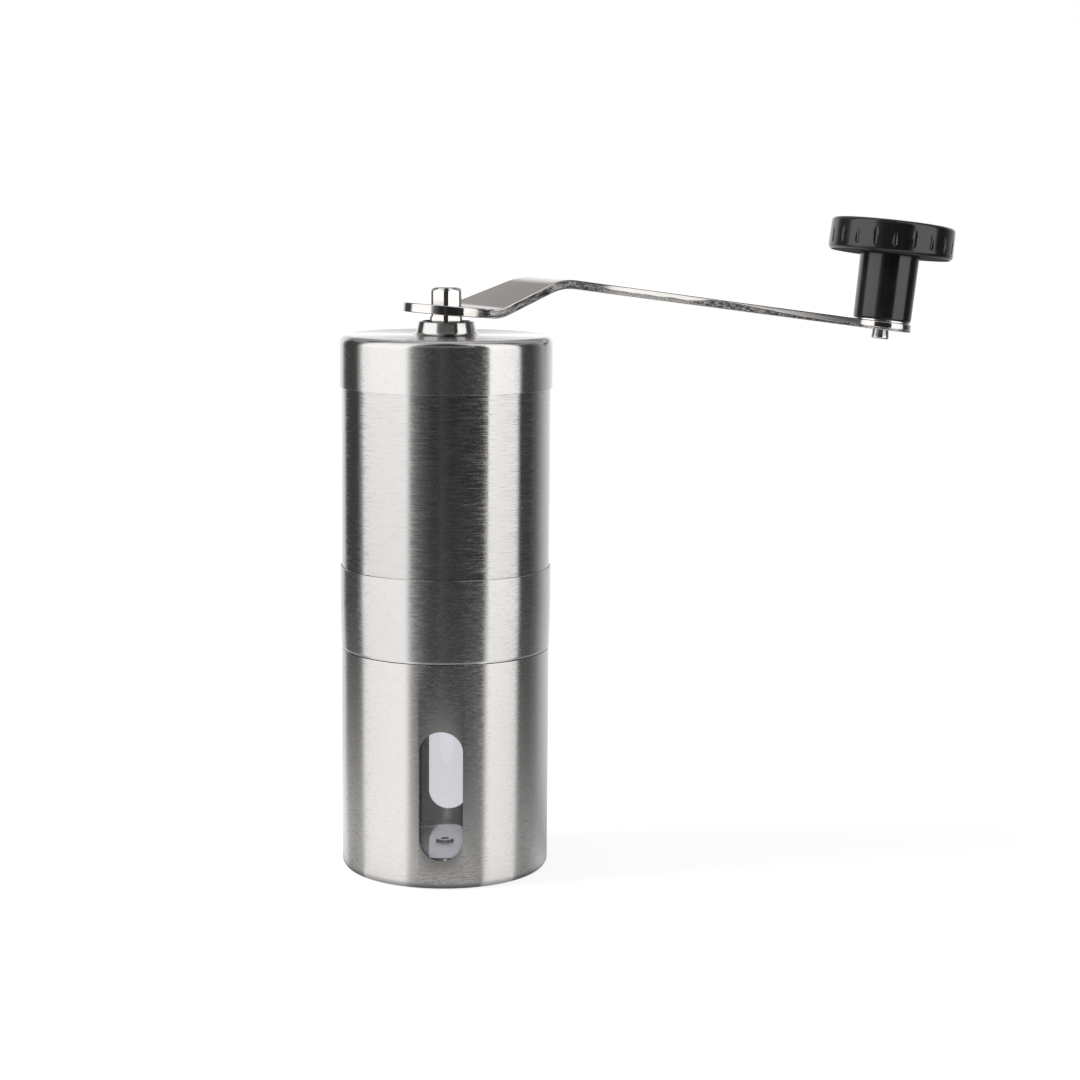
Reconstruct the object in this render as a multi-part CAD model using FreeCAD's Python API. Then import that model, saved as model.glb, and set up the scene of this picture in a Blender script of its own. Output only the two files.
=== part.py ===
"""Manual coffee grinder: a stainless steel pocket mill with a bent crank on top.

Units are millimetres. The origin is the centre of the cup's flat base, +Z points up along the
mill's axis, and the two windows of the cup face -Y and +Y. The crank points away from -Y, to
the right, and hangs a little because its hole is loose on the shaft.
"""
import FreeCAD, Part
import math
import os
from FreeCAD import Placement, Rotation, Vector

# Body tube and the sleeves around it
tube_radius = 23.5
tube_wall = 0.6
tube_length = 57.75
band_height = 18.6
band_wall = 0.33
band_fit = 0.02
band_straight = 8.0
tube_seat = 11.5
joint_gap = 0.15

# Grounds cup with its windows and its clear inner cup
cup_step = 0.05
cup_wall = 0.5
cup_height = 50.85
cup_corner = 1.7
window_width = 9.65
window_bottom = 6.6
window_height = 29.35
liner_fit = 0.1
liner_wall = 1.0
liner_foot = 2.0
liner_floor = 1.3
liner_step_radius = 14.8
liner_step = 1.15
liner_rim_drop = 0.45
gate_radius = 2.15
gate_height = 0.6

# Lid with its collar
lid_sheet = 0.45
lid_wall = 0.4
lid_fit = 0.05
lid_height = 11.6
lid_corner = 1.7
collar_height = 3.05
collar_top_radius = 6.28
collar_foot_radius = 7.0
collar_hole = 5.4
hub_gap = 1.39
lid_disc = 1.0
lid_plug_depth = 5.0
lid_plug_wall = 1.2
lid_plug_fit = 0.12
lid_bush_wall = 1.1
lid_bush_length = 6.2

# Shaft
hex_head = 6.7
hex_head_height = 6.5
hex_corner_cut = 0.25
hex_chamfer = 0.82
hex_chamfer_height = 1.02
hex_shoulder = 7.2
hex_shoulder_length = 13.0
stem_radius = 3.6
journal_radius = 3.0
flat_width = 5.0
thread_radius = 2.45
thread_pitch = 0.8
thread_runout = 0.5
clip_groove_depth = 0.6
running_fit = 0.06

# Burr housing, bridge and bearings
skirt_fit = 0.08
skirt_depth = 7.4
housing_seat = 0.15
flange_fit = 0.06
plug_fit = 0.08
plug_height = 13.0
plug_lip = 0.8
burr_bore_fit = 0.08
throat_lip = 2.58
retainer_pocket = 2.0
retainer_thickness = 2.6
retainer_tab = 0.8
retainer_tab_angle = 17.0
retainer_lock_angle = 20.0
rib_count = 8
rib_width = 2.4
bridge_height = 5.0
bridge_ring_wall = 1.6
bridge_arm_width = 3.0
bridge_hub_wall = 1.6
bridge_hub_drop = 2.0
bridge_hub_rise = 3.5
bushing_wall = 1.0
bushing_flange = 1.0
bushing_flange_reach = 1.3
washer_radius = 5.0
washer_thickness = 0.8
clip_thickness = 0.8
clip_radius = 4.9

# Burrs, adjusting dial and spring
outer_burr_radius = 17.5
outer_burr_height = 13.0
outer_burr_wall = 2.3
burr_cone_slope = 0.25
burr_gap = 0.32
grind_band = 4.2
inner_burr_height = 14.0
inner_burr_top_radius = 7.6
inner_burr_bore = 6.4
outer_groove_count = 24
inner_groove_count = 30
groove_depth = 0.55
feed_flute_count = 4
feed_flute_radius = 2.6
core_flange_radius = 9.6
core_flange = 2.0
core_fit = 0.05
dial_radius = 9.0
dial_height = 6.0
dial_turns_closed = 0.75
dial_scallops = 18
dial_scallop_radius = 1.1
dial_dimples = 12
dial_dimple_radius = 0.8
insert_radius = 4.2
insert_foot = 0.8
insert_fit = 0.02
spring_wire = 0.9
spring_turns = 4.5
spring_seat_gap = 0.05

# Crank arm
arm_thickness = 2.1
hub_radius = 9.8
arm_width = 11.8
arm_width_at_pin = 6.5
crank_reach = 137.7
eye_radius = 7.66
eye_neck_radius = 9.0
lower_bend_start = 6.0
lower_bend_radius = 7.7
upper_bend_radius = 18.0
bend_angle = 23.3
slope_length = 14.2
arm_fall = 2.4
taper_start = 9.5
taper_length = 32.0
crank_azimuth = 37.6
crank_droop = 4.66
crank_roll = 0.74
crank_play = 0.35
crank_seat_clearance = 0.02

# Knob, its pin and its washer
pin_radius = 2.5
pin_shank_radius = 1.8
pin_tail_radius = 2.4
pin_tail = 2.3
pin_head_radius = 4.4
pin_head = 1.5
knob_washer_radius = 7.3
knob_washer = 0.5
stem_bottom_radius = 7.46
stem_top_radius = 7.63
stem_height = 16.78
knob_radius = 16.0
knob_top_radius = 15.87
knob_thickness = 8.23
knob_edge = 1.0
knob_notches = 20
knob_notch_radius = 0.8
knob_notch_depth = 0.5
knob_notch_stop = 0.7
knob_dish = 0.9
knob_dish_rim = 1.2
knob_notch_turn = -5.0
knob_pocket_radius = 9.0
knob_cap_thickness = 1.6
knob_cap_fit = 0.05
knob_end_play = 0.1

# Radii and heights that follow from the sizes above
cup_radius = tube_radius + cup_step
cup_inner = cup_radius - cup_wall
liner_outer = cup_inner - liner_fit
liner_inner = liner_outer - liner_wall
liner_floor_top = cup_wall + liner_foot + liner_floor
liner_rim = cup_height - liner_rim_drop
tube_inner = tube_radius - tube_wall
lid_inner = tube_radius + lid_fit
lid_outer = lid_inner + lid_wall
band_inner = tube_radius + band_fit
band_outer = band_inner + band_wall

band_bottom = cup_height + joint_gap
band_top = band_bottom + band_height
tube_bottom = band_bottom + tube_seat
tube_top = tube_bottom + tube_length
lid_top = tube_top + lid_disc + lid_sheet
lid_rim = lid_top - lid_height
collar_top = lid_top + collar_height

skirt_radius = liner_inner - skirt_fit
skirt_bottom = liner_rim - skirt_depth
plug_radius = tube_inner - plug_fit
housing_top = tube_bottom + plug_height
flange_low_radius = cup_inner - flange_fit
flange_top_radius = band_inner - housing_seat
outer_burr_bottom = skirt_bottom + 6.0
outer_burr_top = outer_burr_bottom + outer_burr_height
burr_bore = outer_burr_radius + burr_bore_fit
throat_radius = burr_bore - throat_lip
outer_burr_bottom_bore = outer_burr_radius - outer_burr_wall
retainer_bore = burr_bore + retainer_pocket

bridge_bottom = housing_top
bridge_top = bridge_bottom + bridge_height
bushing_bore = journal_radius + running_fit
bushing_outer = bushing_bore + bushing_wall
bridge_bore = bushing_outer + insert_fit
bridge_hub_radius = bridge_bore + bridge_hub_wall
bridge_hub_bottom = bridge_bottom - bridge_hub_drop
bridge_hub_top = bridge_top + bridge_hub_rise
bushing_top = bridge_hub_top + bushing_flange

clip_bottom = bushing_top + washer_thickness
journal_top = clip_bottom + clip_thickness + 1.4

inner_burr_bottom = outer_burr_bottom + 0.3
inner_burr_top = inner_burr_bottom + inner_burr_height
core_bottom = inner_burr_bottom - core_flange
core_top = inner_burr_top + 1.0
dial_bottom = core_bottom - dial_height
dial_travel_up = thread_pitch * dial_turns_closed
shaft_bottom = dial_bottom - insert_foot - 2.6
flats_bottom = core_bottom + dial_travel_up + 2 * thread_runout
flats_top = core_top + 4.6

head_corner = hex_head / math.sqrt(3) - hex_corner_cut
shoulder_corner = hex_shoulder / math.sqrt(3) - hex_corner_cut
collar_bush_radius = shoulder_corner + running_fit
hub_underside = collar_top + hub_gap
shoulder_top = (hub_underside - crank_seat_clearance
                - shoulder_corner * math.tan(math.radians(crank_droop)))
head_top = shoulder_top + hex_head_height

knob_base = knob_washer
knob_head_bottom = knob_base + stem_height
knob_head_top = knob_head_bottom + knob_thickness
pin_bore = pin_radius + running_fit
pin_head_bottom = knob_head_bottom + 2.0
pin_head_top = pin_head_bottom + pin_head

Z = Vector(0, 0, 1)
ORIGIN = Vector(0, 0, 0)


def rounded_wire(corners, place):
    """Closed wire through 2D corners (a, b) or (a, b, radius), put in space by place(a, b)."""
    count = len(corners)
    starts = []
    ends = []
    middles = []
    for i, corner in enumerate(corners):
        here = Vector(corner[0], corner[1], 0)
        before = Vector(*corners[i - 1][:2], 0) - here
        after = Vector(*corners[(i + 1) % count][:2], 0) - here
        radius = corner[2] if len(corner) > 2 else 0.0
        before.normalize()
        after.normalize()
        half = before.getAngle(after) / 2
        if radius == 0.0 or half > math.pi / 2 - 1e-6:
            starts.append(here)
            ends.append(here)
            middles.append(None)
            continue
        bisector = (before + after).normalize()
        cut = radius / math.tan(half)
        starts.append(here + before * cut)
        ends.append(here + after * cut)
        middles.append(here + bisector * (radius / math.sin(half) - radius))
    edges = []
    for i in range(count):
        if middles[i] is not None:
            arc = [place(p.x, p.y) for p in (starts[i], middles[i], ends[i])]
            edges.append(Part.Arc(*arc).toShape())
        first = ends[i]
        last = starts[(i + 1) % count]
        if first.distanceToPoint(last) > 1e-6:
            edges.append(Part.LineSegment(place(first.x, first.y), place(last.x, last.y)).toShape())
    return Part.Wire(edges)


def revolved(corners):
    """Solid of revolution about Z from corners (radius, height) or (radius, height, rounding)."""
    wire = rounded_wire(corners, lambda a, b: Vector(a, 0, b))
    return Part.Face(wire).revolve(ORIGIN, Z, 360)


def extruded(corners, bottom, height):
    """Prism along Z from plan corners (x, y) or (x, y, rounding)."""
    wire = rounded_wire(corners, lambda a, b: Vector(a, b, bottom))
    return Part.Face(wire).extrude(Vector(0, 0, height))


def cylinder(radius, bottom, height):
    return Part.makeCylinder(radius, height, Vector(0, 0, bottom))


def ring(outer, inner, bottom, height):
    return cylinder(outer, bottom, height).cut(cylinder(inner, bottom, height))


def hexagon(across_flats, bottom, height):
    """Hexagonal prism on the axis with one corner towards -Y."""
    reach = across_flats / math.sqrt(3)
    angles = [math.radians(60 * i - 90) for i in range(6)]
    return extruded([(reach * math.cos(a), reach * math.sin(a)) for a in angles], bottom, height)


def turned(shape, angle):
    copy = shape.copy()
    copy.rotate(ORIGIN, Z, angle)
    return copy


def sector(inner, outer, bottom, top, first, last):
    """Piece of a ring between two angles in degrees."""
    corners = [(inner, bottom), (outer, bottom), (outer, top), (inner, top)]
    face = Part.Face(rounded_wire(corners, lambda a, b: Vector(a, 0, b)))
    return turned(face.revolve(ORIGIN, Z, last - first), first)


def around(shape, count, first=0.0):
    """The shape repeated evenly about Z, as one compound."""
    return Part.makeCompound([turned(shape, first + 360.0 * i / count) for i in range(count)])


def make_cup_shell():
    """Drawn steel cup with two windows opposite each other."""
    cup = revolved([
        (0, 0), (cup_radius, 0, cup_corner), (cup_radius, cup_height), (cup_inner, cup_height),
        (cup_inner, cup_wall, cup_corner - cup_wall), (0, cup_wall)])
    half = window_width / 2
    top = window_bottom + window_height
    slot = rounded_wire([(-half, window_bottom, half * 0.999), (half, window_bottom, half * 0.999),
                         (half, top, half * 0.999), (-half, top, half * 0.999)],
                        lambda a, b: Vector(a, -cup_radius - 1, b))
    return cup.cut(Part.Face(slot).extrude(Vector(0, 2 * cup_radius + 2, 0)))


def make_cup_liner():
    """Clear cup that holds the grounds, standing on a foot ring inside the steel cup."""
    foot_inner = liner_inner - liner_wall
    underside = cup_wall + liner_foot
    middle = liner_floor_top + liner_step
    cup = revolved([
        (0, underside + liner_step), (liner_step_radius - 0.6, underside + liner_step),
        (liner_step_radius, underside), (foot_inner, underside), (foot_inner, cup_wall),
        (liner_outer, cup_wall, cup_corner - cup_wall + liner_fit), (liner_outer, liner_rim),
        (liner_inner, liner_rim), (liner_inner, liner_floor_top, 0.8),
        (liner_step_radius + 0.6, liner_floor_top, 0.4), (liner_step_radius, middle, 0.4),
        (0, middle)])
    gate = revolved([
        (0, middle - 0.2), (gate_radius, middle - 0.2),
        (gate_radius, middle + 0.1), (gate_radius * 0.7, middle + gate_height),
        (gate_radius * 0.4, middle + gate_height),
        (gate_radius * 0.3, middle + 0.2), (0, middle + 0.2)])
    return cup.fuse(gate).removeSplitter()


def make_hopper_tube():
    """Plain steel tube that holds the beans."""
    return revolved([
        (tube_inner, tube_bottom), (tube_radius, tube_bottom), (tube_radius, tube_top, 0.15),
        (tube_inner, tube_top, 0.15)])


def make_middle_band():
    """Steel sleeve pressed over the tube, drawn in at its lower end to the cup's radius."""
    straight = band_top - band_straight
    foot = cup_radius + 0.03
    return revolved([
        (foot, band_bottom), (band_outer, straight, 60), (band_outer, band_top, 0.1),
        (band_inner, band_top, 0.1), (band_inner, straight, 60), (foot - band_wall, band_bottom)])


def make_burr_housing():
    """Plastic frame in the tube's lower end: skirt for the cup, burr seat and bean funnel."""
    skirt_chamfer = 0.4
    body = revolved([
        (retainer_bore, skirt_bottom), (skirt_radius - skirt_chamfer, skirt_bottom),
        (skirt_radius, skirt_bottom + skirt_chamfer), (skirt_radius, liner_rim),
        (flange_low_radius, liner_rim), (flange_low_radius, band_bottom),
        (flange_top_radius, band_top - band_straight), (flange_top_radius, tube_bottom),
        (plug_radius, tube_bottom), (plug_radius, housing_top),
        (plug_radius - plug_lip, housing_top), (throat_radius, outer_burr_top + 3.5),
        (throat_radius, outer_burr_top), (burr_bore, outer_burr_top),
        (burr_bore, outer_burr_bottom), (retainer_bore, outer_burr_bottom)])
    pocket_bottom = liner_rim + 2.2
    pocket_height = tube_bottom - 1.6 - pocket_bottom
    pocket = ring(tube_radius, burr_bore + 2.4, pocket_bottom, pocket_height)
    rib = Part.makeBox(2 * tube_radius, rib_width, pocket_height,
                       Vector(0, -rib_width / 2, pocket_bottom))
    body = body.cut(pocket.cut(around(rib, rib_count)))
    play = 0.5
    reach = retainer_bore + retainer_tab
    slot_bottom = outer_burr_bottom - retainer_thickness - 0.1
    half = retainer_tab_angle / 2 + play
    slot = sector(retainer_bore - 0.5, reach, slot_bottom, outer_burr_bottom,
                  -half, retainer_lock_angle + half)
    entry = sector(retainer_bore - 0.5, reach, skirt_bottom - 1, slot_bottom + 0.1,
                   retainer_lock_angle - half, retainer_lock_angle + half)
    return body.cut(around(slot, 3)).cut(around(entry, 3))


def make_shaft_bridge():
    """Three-armed plastic bridge over the funnel that carries the shaft's bushing."""
    outer = tube_inner - running_fit
    body = ring(outer, outer - bridge_ring_wall, bridge_bottom, bridge_height)
    arm = extruded([(0, -bridge_arm_width / 2), (outer - 0.8, -bridge_arm_width / 2),
                    (outer - 0.8, bridge_arm_width / 2), (0, bridge_arm_width / 2)],
                   bridge_bottom, bridge_height - 0.6)
    hub = cylinder(bridge_hub_radius, bridge_hub_bottom, bridge_hub_top - bridge_hub_bottom)
    body = body.fuse([turned(arm, 60 + 120 * i) for i in range(3)] + [hub])
    bore = cylinder(bridge_bore, bridge_hub_bottom - 1, bridge_hub_top - bridge_hub_bottom + 2)
    return body.cut(bore).removeSplitter()


def make_shaft_bushing():
    """Flanged bronze bushing in the bridge."""
    return revolved([
        (bushing_bore, bridge_hub_bottom), (bushing_outer, bridge_hub_bottom),
        (bushing_outer, bridge_hub_top), (bushing_outer + bushing_flange_reach, bridge_hub_top),
        (bushing_outer + bushing_flange_reach, bushing_top, 0.3), (bushing_bore, bushing_top)])


def outer_burr_bore_at(height):
    return outer_burr_bottom_bore - (height - outer_burr_bottom) * burr_cone_slope


def inner_burr_radius_at(height):
    return outer_burr_bore_at(height) - burr_gap


def groove_cutter(low, high, depth, skew):
    """V-shaped bar between two points (radius, height), its edge depth mm into the surface."""
    width = depth * 1.1
    sections = []
    for radius, height, angle in ((low[0], low[1], -skew), (high[0], high[1], skew)):
        a = math.radians(angle)
        out = Vector(math.cos(a), math.sin(a), 0)
        side = Vector(-math.sin(a), math.cos(a), 0)
        at = out * radius + Z * height
        corners = [at + out * depth, at - out * depth + side * width, at - out * depth - side * width]
        sections.append(Part.makePolygon(corners + corners[:1]))
    return Part.makeLoft(sections, True, True)


def make_outer_burr():
    """Ceramic ring with grinding grooves inside, wide at the bottom."""
    top_bore = outer_burr_bore_at(outer_burr_top)
    body = revolved([
        (outer_burr_bottom_bore, outer_burr_bottom), (outer_burr_radius, outer_burr_bottom, 0.3),
        (outer_burr_radius, outer_burr_top, 0.3), (top_bore + 1.4, outer_burr_top),
        (top_bore + 0.3, outer_burr_top - 2.4)])
    groove = groove_cutter((outer_burr_bottom_bore - 0.1, outer_burr_bottom + grind_band),
                           (top_bore + 0.5, outer_burr_top + 0.5), groove_depth * 1.6, 5)
    return body.cut(around(groove, outer_groove_count))


def make_burr_retainer():
    """Plastic ring with three bayonet tabs that locks the ceramic ring from below."""
    bottom = outer_burr_bottom - retainer_thickness
    outer = retainer_bore - 0.1
    body = ring(outer, outer_burr_bottom_bore + 0.8, bottom, retainer_thickness)
    half = retainer_tab_angle / 2
    tab = sector(outer - 0.6, outer + retainer_tab, bottom + 0.1, outer_burr_bottom - 0.1, -half, half)
    body = body.fuse(around(tab, 3).Solids).removeSplitter()
    notch = Part.makeBox(3.0, 4.0, 1.2, Vector(outer_burr_bottom_bore + 0.2, -2.0, bottom - 0.2))
    return body.cut(around(notch, 3, 60))


def make_lid_shell():
    """Pressed steel lid with a raised collar round the shaft."""
    inner_top = lid_top - lid_sheet
    collar_wall = collar_top_radius - collar_hole
    foot = collar_foot_radius - collar_wall
    return revolved([
        (collar_hole, collar_top, 0.2), (collar_top_radius, collar_top, 0.3),
        (collar_foot_radius, lid_top, 1.0), (lid_outer, lid_top, lid_corner), (lid_outer, lid_rim),
        (lid_inner, lid_rim), (lid_inner, inner_top, lid_corner - lid_wall), (foot, inner_top, 0.5)])


def make_lid_liner():
    """Plastic disc in the lid whose plug centres it in the tube and holds the lid's bushing."""
    top = lid_top - lid_sheet
    edge = lid_disc - 0.05
    disc_radius = lid_outer - lid_corner + edge
    plug = tube_inner - lid_plug_fit
    bore = collar_bush_radius + lid_bush_wall + insert_fit
    return revolved([
        (bore, top), (disc_radius, top, edge), (disc_radius, tube_top), (plug, tube_top),
        (plug, tube_top - lid_plug_depth), (plug - lid_plug_wall, tube_top - lid_plug_depth),
        (plug - lid_plug_wall, tube_top - 0.6, 0.5), (bore + 1.4, tube_top - 0.6, 0.5),
        (bore + 1.4, top - lid_bush_length + 0.6), (bore, top - lid_bush_length + 0.6)])


def make_lid_bushing():
    """Plastic guide bushing for the shaft's hexagon."""
    top = lid_top - lid_sheet
    outer = collar_bush_radius + lid_bush_wall
    bottom = top - lid_bush_length
    return revolved([
        (collar_bush_radius, bottom), (outer + 0.9, bottom), (outer + 0.9, bottom + 0.6),
        (outer, bottom + 0.6), (outer, top), (collar_bush_radius, top, 0.4)])


def flats_cut(width, bottom, height):
    """Two blocks that leave a bar of the given width between them, facing +Y and -Y."""
    block = Part.makeBox(20, 10, height, Vector(-10, width / 2, bottom))
    return Part.makeCompound([block, turned(block, 180)])


def make_drive_shaft():
    """Steel shaft: hexagon drive at the top, flats for the burr and a thread below."""
    groove = journal_radius - clip_groove_depth
    thread_top = flats_bottom - thread_runout
    round_part = revolved([
        (0, shaft_bottom), (thread_radius - 0.4, shaft_bottom), (thread_radius, shaft_bottom + 0.4),
        (thread_radius, thread_top), (journal_radius, flats_bottom), (journal_radius, clip_bottom),
        (groove, clip_bottom), (groove, clip_bottom + clip_thickness),
        (journal_radius, clip_bottom + clip_thickness), (journal_radius, journal_top),
        (stem_radius, journal_top + 0.6), (stem_radius, shoulder_top - hex_shoulder_length),
        (0, shoulder_top - hex_shoulder_length)])
    round_part = round_part.cut(flats_cut(flat_width, thread_top, flats_top - thread_top))
    shoulder = hexagon(hex_shoulder, shoulder_top - hex_shoulder_length, hex_shoulder_length)
    shoulder = shoulder.common(cylinder(shoulder_corner, shoulder_top - hex_shoulder_length - 1,
                                        hex_shoulder_length + 2))
    head = hexagon(hex_head, shoulder_top, hex_head_height)
    chamfer = revolved([
        (0, shoulder_top), (head_corner, shoulder_top),
        (head_corner, head_top - hex_chamfer_height, 0.3),
        (head_corner - hex_chamfer, head_top, 0.4), (0, head_top)])
    return round_part.fuse([shoulder, head.common(chamfer)]).removeSplitter()


def make_shaft_washers():
    """Two like washers: one on the bushing's flange, one under the bridge for the spring."""
    upper = ring(washer_radius, bushing_bore, bushing_top, washer_thickness)
    lower_top = bridge_hub_bottom - spring_seat_gap
    lower = ring(washer_radius, bushing_bore, lower_top - washer_thickness, washer_thickness)
    return Part.makeCompound([upper, lower])


def make_shaft_clip():
    """Spring clip in the shaft's groove that carries the shaft on the upper washer."""
    inner = journal_radius - clip_groove_depth + 0.03
    body = ring(clip_radius, journal_radius + 0.55, clip_bottom, clip_thickness)
    lug = Part.makeBox(clip_radius - 0.3, 2.0, clip_thickness, Vector(0, -1.0, clip_bottom))
    lugs = Part.makeCompound([turned(lug, a) for a in (0, 120, 240)])
    body = body.fuse(lugs.Solids).cut(cylinder(inner, clip_bottom - 1, clip_thickness + 2))
    mouth = Part.makeBox(clip_radius + 1, 4.4, clip_thickness + 2,
                         Vector(0, -2.2, clip_bottom - 1))
    return body.cut(turned(mouth, 60)).removeSplitter()


def helix_point(radius, pitch, start, turn):
    angle = 2 * math.pi * turn
    return Vector(radius * math.cos(angle), radius * math.sin(angle), start + pitch * turn)


def helix_tangent(radius, pitch, turn):
    angle = 2 * math.pi * turn
    run = 2 * math.pi * radius
    return Vector(-run * math.sin(angle), run * math.cos(angle), pitch).normalize()


def arc_from(start, tangent, end):
    """Arc that leaves start along the tangent and ends at end."""
    chord = end - start
    inward = chord - tangent * chord.dot(tangent)
    inward.normalize()
    radius = chord.Length ** 2 / (2 * chord.dot(inward))
    centre = start + inward * radius
    middle = ((start - centre) + (end - centre)).normalize() * radius
    return Part.Arc(start, centre + middle, end).toShape()


def biarc(start, start_tangent, end, end_tangent):
    """Two arcs that join start to end and keep both tangents."""
    chord = end - start
    along = chord.dot(start_tangent + end_tangent)
    bend = 2 * (1 - start_tangent.dot(end_tangent))
    reach = (-along + math.sqrt(along ** 2 + bend * chord.Length ** 2)) / bend
    joint = (start + end + (start_tangent - end_tangent) * reach) * 0.5
    first = arc_from(start, start_tangent, joint)
    second = arc_from(end, end_tangent * -1, joint)
    return [first, second]


def make_burr_spring():
    """Compression spring between the bridge's washer and the inner burr's core."""
    radius = journal_radius + 0.75 + spring_wire / 2
    low = core_top + spring_wire / 2 + 0.05
    high = bridge_hub_bottom - spring_seat_gap - washer_thickness - spring_wire / 2 - 0.05
    pitch = (high - low) / spring_turns
    edges = []
    for i in range(int(round(spring_turns * 4))):
        a = i / 4
        b = (i + 1) / 4
        edges += biarc(helix_point(radius, pitch, low, a), helix_tangent(radius, pitch, a),
                       helix_point(radius, pitch, low, b), helix_tangent(radius, pitch, b))
    path = Part.Wire(edges)
    section = Part.Wire(Part.makeCircle(spring_wire / 2, helix_point(radius, pitch, low, 0),
                                        helix_tangent(radius, pitch, 0)))
    print("spring: pitch %.3f, least gap %.3f" % (pitch, spring_least_gap(radius, pitch)))
    return path.makePipeShell([section], True, False)


def spring_least_gap(radius, pitch):
    """Least distance between the wire's surfaces on neighbouring turns."""
    here = helix_point(radius, pitch, 0, 0)
    turns = [0.5 + i / 200 for i in range(201)]
    return min(here.distanceToPoint(helix_point(radius, pitch, 0, t)) for t in turns) - spring_wire


def make_inner_burr():
    """Ceramic cone with fine grooves below and feed flutes above."""
    shoulder = inner_burr_bottom + grind_band
    body = revolved([
        (inner_burr_bore, inner_burr_bottom), (inner_burr_radius_at(inner_burr_bottom), inner_burr_bottom),
        (inner_burr_radius_at(shoulder), shoulder), (inner_burr_top_radius, inner_burr_top, 0.5),
        (inner_burr_bore, inner_burr_top)])
    groove = groove_cutter((inner_burr_radius_at(inner_burr_bottom) + groove_depth, inner_burr_bottom - 0.2),
                           (inner_burr_radius_at(shoulder) - 0.2, shoulder + 1.6), -groove_depth, 6)
    body = body.cut(around(groove, inner_groove_count))
    low = Vector(inner_burr_radius_at(shoulder) + 1.6, -3.0, inner_burr_bottom + 2.2)
    high = Vector(inner_burr_top_radius + 1.4, 3.4, inner_burr_top + 1.0)
    flute = Part.makeCylinder(feed_flute_radius, (high - low).Length, low, high - low)
    return body.cut(around(flute, feed_flute_count))


def make_burr_core():
    """Plastic core that carries the inner burr and slides on the shaft's flats."""
    outer = inner_burr_bore - core_fit
    body = revolved([
        (0, core_bottom), (core_flange_radius, core_bottom), (core_flange_radius, inner_burr_bottom),
        (outer, inner_burr_bottom), (outer, core_top, 0.4), (0, core_top)])
    hole = cylinder(journal_radius + running_fit, core_bottom - 1, core_top - core_bottom + 2)
    hole = hole.cut(flats_cut(flat_width + 2 * running_fit, core_bottom - 1,
                              core_top - core_bottom + 2))
    return body.cut(hole)


def make_adjust_dial():
    """Plastic click wheel under the inner burr."""
    top = core_bottom
    body = revolved([
        (insert_radius + insert_fit, dial_bottom), (dial_radius, dial_bottom, 0.5),
        (dial_radius, top, 0.5), (insert_radius + insert_fit, top)])
    scallop = Part.makeCylinder(dial_scallop_radius, dial_height - 1.2,
                                Vector(dial_radius + 0.4, 0, dial_bottom - 0.01))
    dimple = Part.makeSphere(dial_dimple_radius, Vector(dial_radius - 2.4, 0, top + 0.4))
    return body.cut(around(scallop, dial_scallops)).cut(around(dimple, dial_dimples))


def make_dial_insert():
    """Brass threaded insert moulded into the dial, with a hexagon foot."""
    body = cylinder(insert_radius, dial_bottom, dial_height)
    foot = hexagon(2 * insert_radius - 0.9, dial_bottom - insert_foot, insert_foot)
    bore = cylinder(thread_radius + 0.05, dial_bottom - 2, dial_height + 4)
    return body.fuse(foot).cut(bore)


def crank_frame():
    """Crank's own frame: underside of the hub, +X along the arm, its middle on the shaft's axis."""
    turn = (Rotation(Z, crank_azimuth)
            .multiply(Rotation(Vector(0, 1, 0), crank_droop))
            .multiply(Rotation(Vector(1, 0, 0), crank_roll)))
    middle = Vector(0, 0, arm_thickness / 2)
    return Placement(Vector(0, 0, hub_underside) + middle - turn.multVec(middle), turn)


def strip_line(height):
    """Side view of the bent strip's surface that lies height above its underside.

    Returns the start, the two bends as (start, middle, end), and the end of the arm.
    """
    rise = math.radians(bend_angle)
    fall = math.radians(arm_fall)
    lower = lower_bend_radius + arm_thickness - height
    upper = upper_bend_radius + height
    centre = Vector(lower_bend_start, 0, lower_bend_radius + arm_thickness)

    def on_lower(angle):
        return centre + Vector(math.sin(angle), 0, -math.cos(angle)) * lower

    along = Vector(math.cos(rise), 0, math.sin(rise))
    upper_start = on_lower(rise) + along * slope_length
    upper_centre = upper_start + Vector(math.sin(rise), 0, -math.cos(rise)) * upper

    def on_upper(angle):
        return upper_centre + Vector(-math.sin(angle), 0, math.cos(angle)) * upper

    arm_start = on_upper(-fall)
    run = (crank_reach + 2 * eye_radius - arm_start.x) / math.cos(fall)
    arm_end = arm_start + Vector(math.cos(fall), 0, -math.sin(fall)) * run
    bends = [(on_lower(0), on_lower(rise / 2), on_lower(rise)),
             (upper_start, on_upper((rise - fall) / 2), arm_start)]
    return Vector(-hub_radius - 1, 0, height), bends, arm_end


def arm_point(height):
    """Point on the pin's axis at the height above the arm's underside."""
    fall = math.radians(arm_fall)
    start = strip_line(0)[1][1][2]
    run = (crank_reach - start.x) / math.cos(fall)
    foot = start + Vector(math.cos(fall), 0, -math.sin(fall)) * run
    return foot + Vector(math.sin(fall), 0, math.cos(fall)) * height


def pin_frame():
    """Top face of the arm on the pin's axis, +Z along the pin, in the crank's frame."""
    return Placement(arm_point(arm_thickness), Rotation(Vector(0, 1, 0), arm_fall))


def knob_frame():
    """The pin's frame placed with the crank."""
    return crank_frame().multiply(pin_frame())


def placed(shape, frame):
    copy = shape.copy()
    copy.Placement = frame
    return copy


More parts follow.
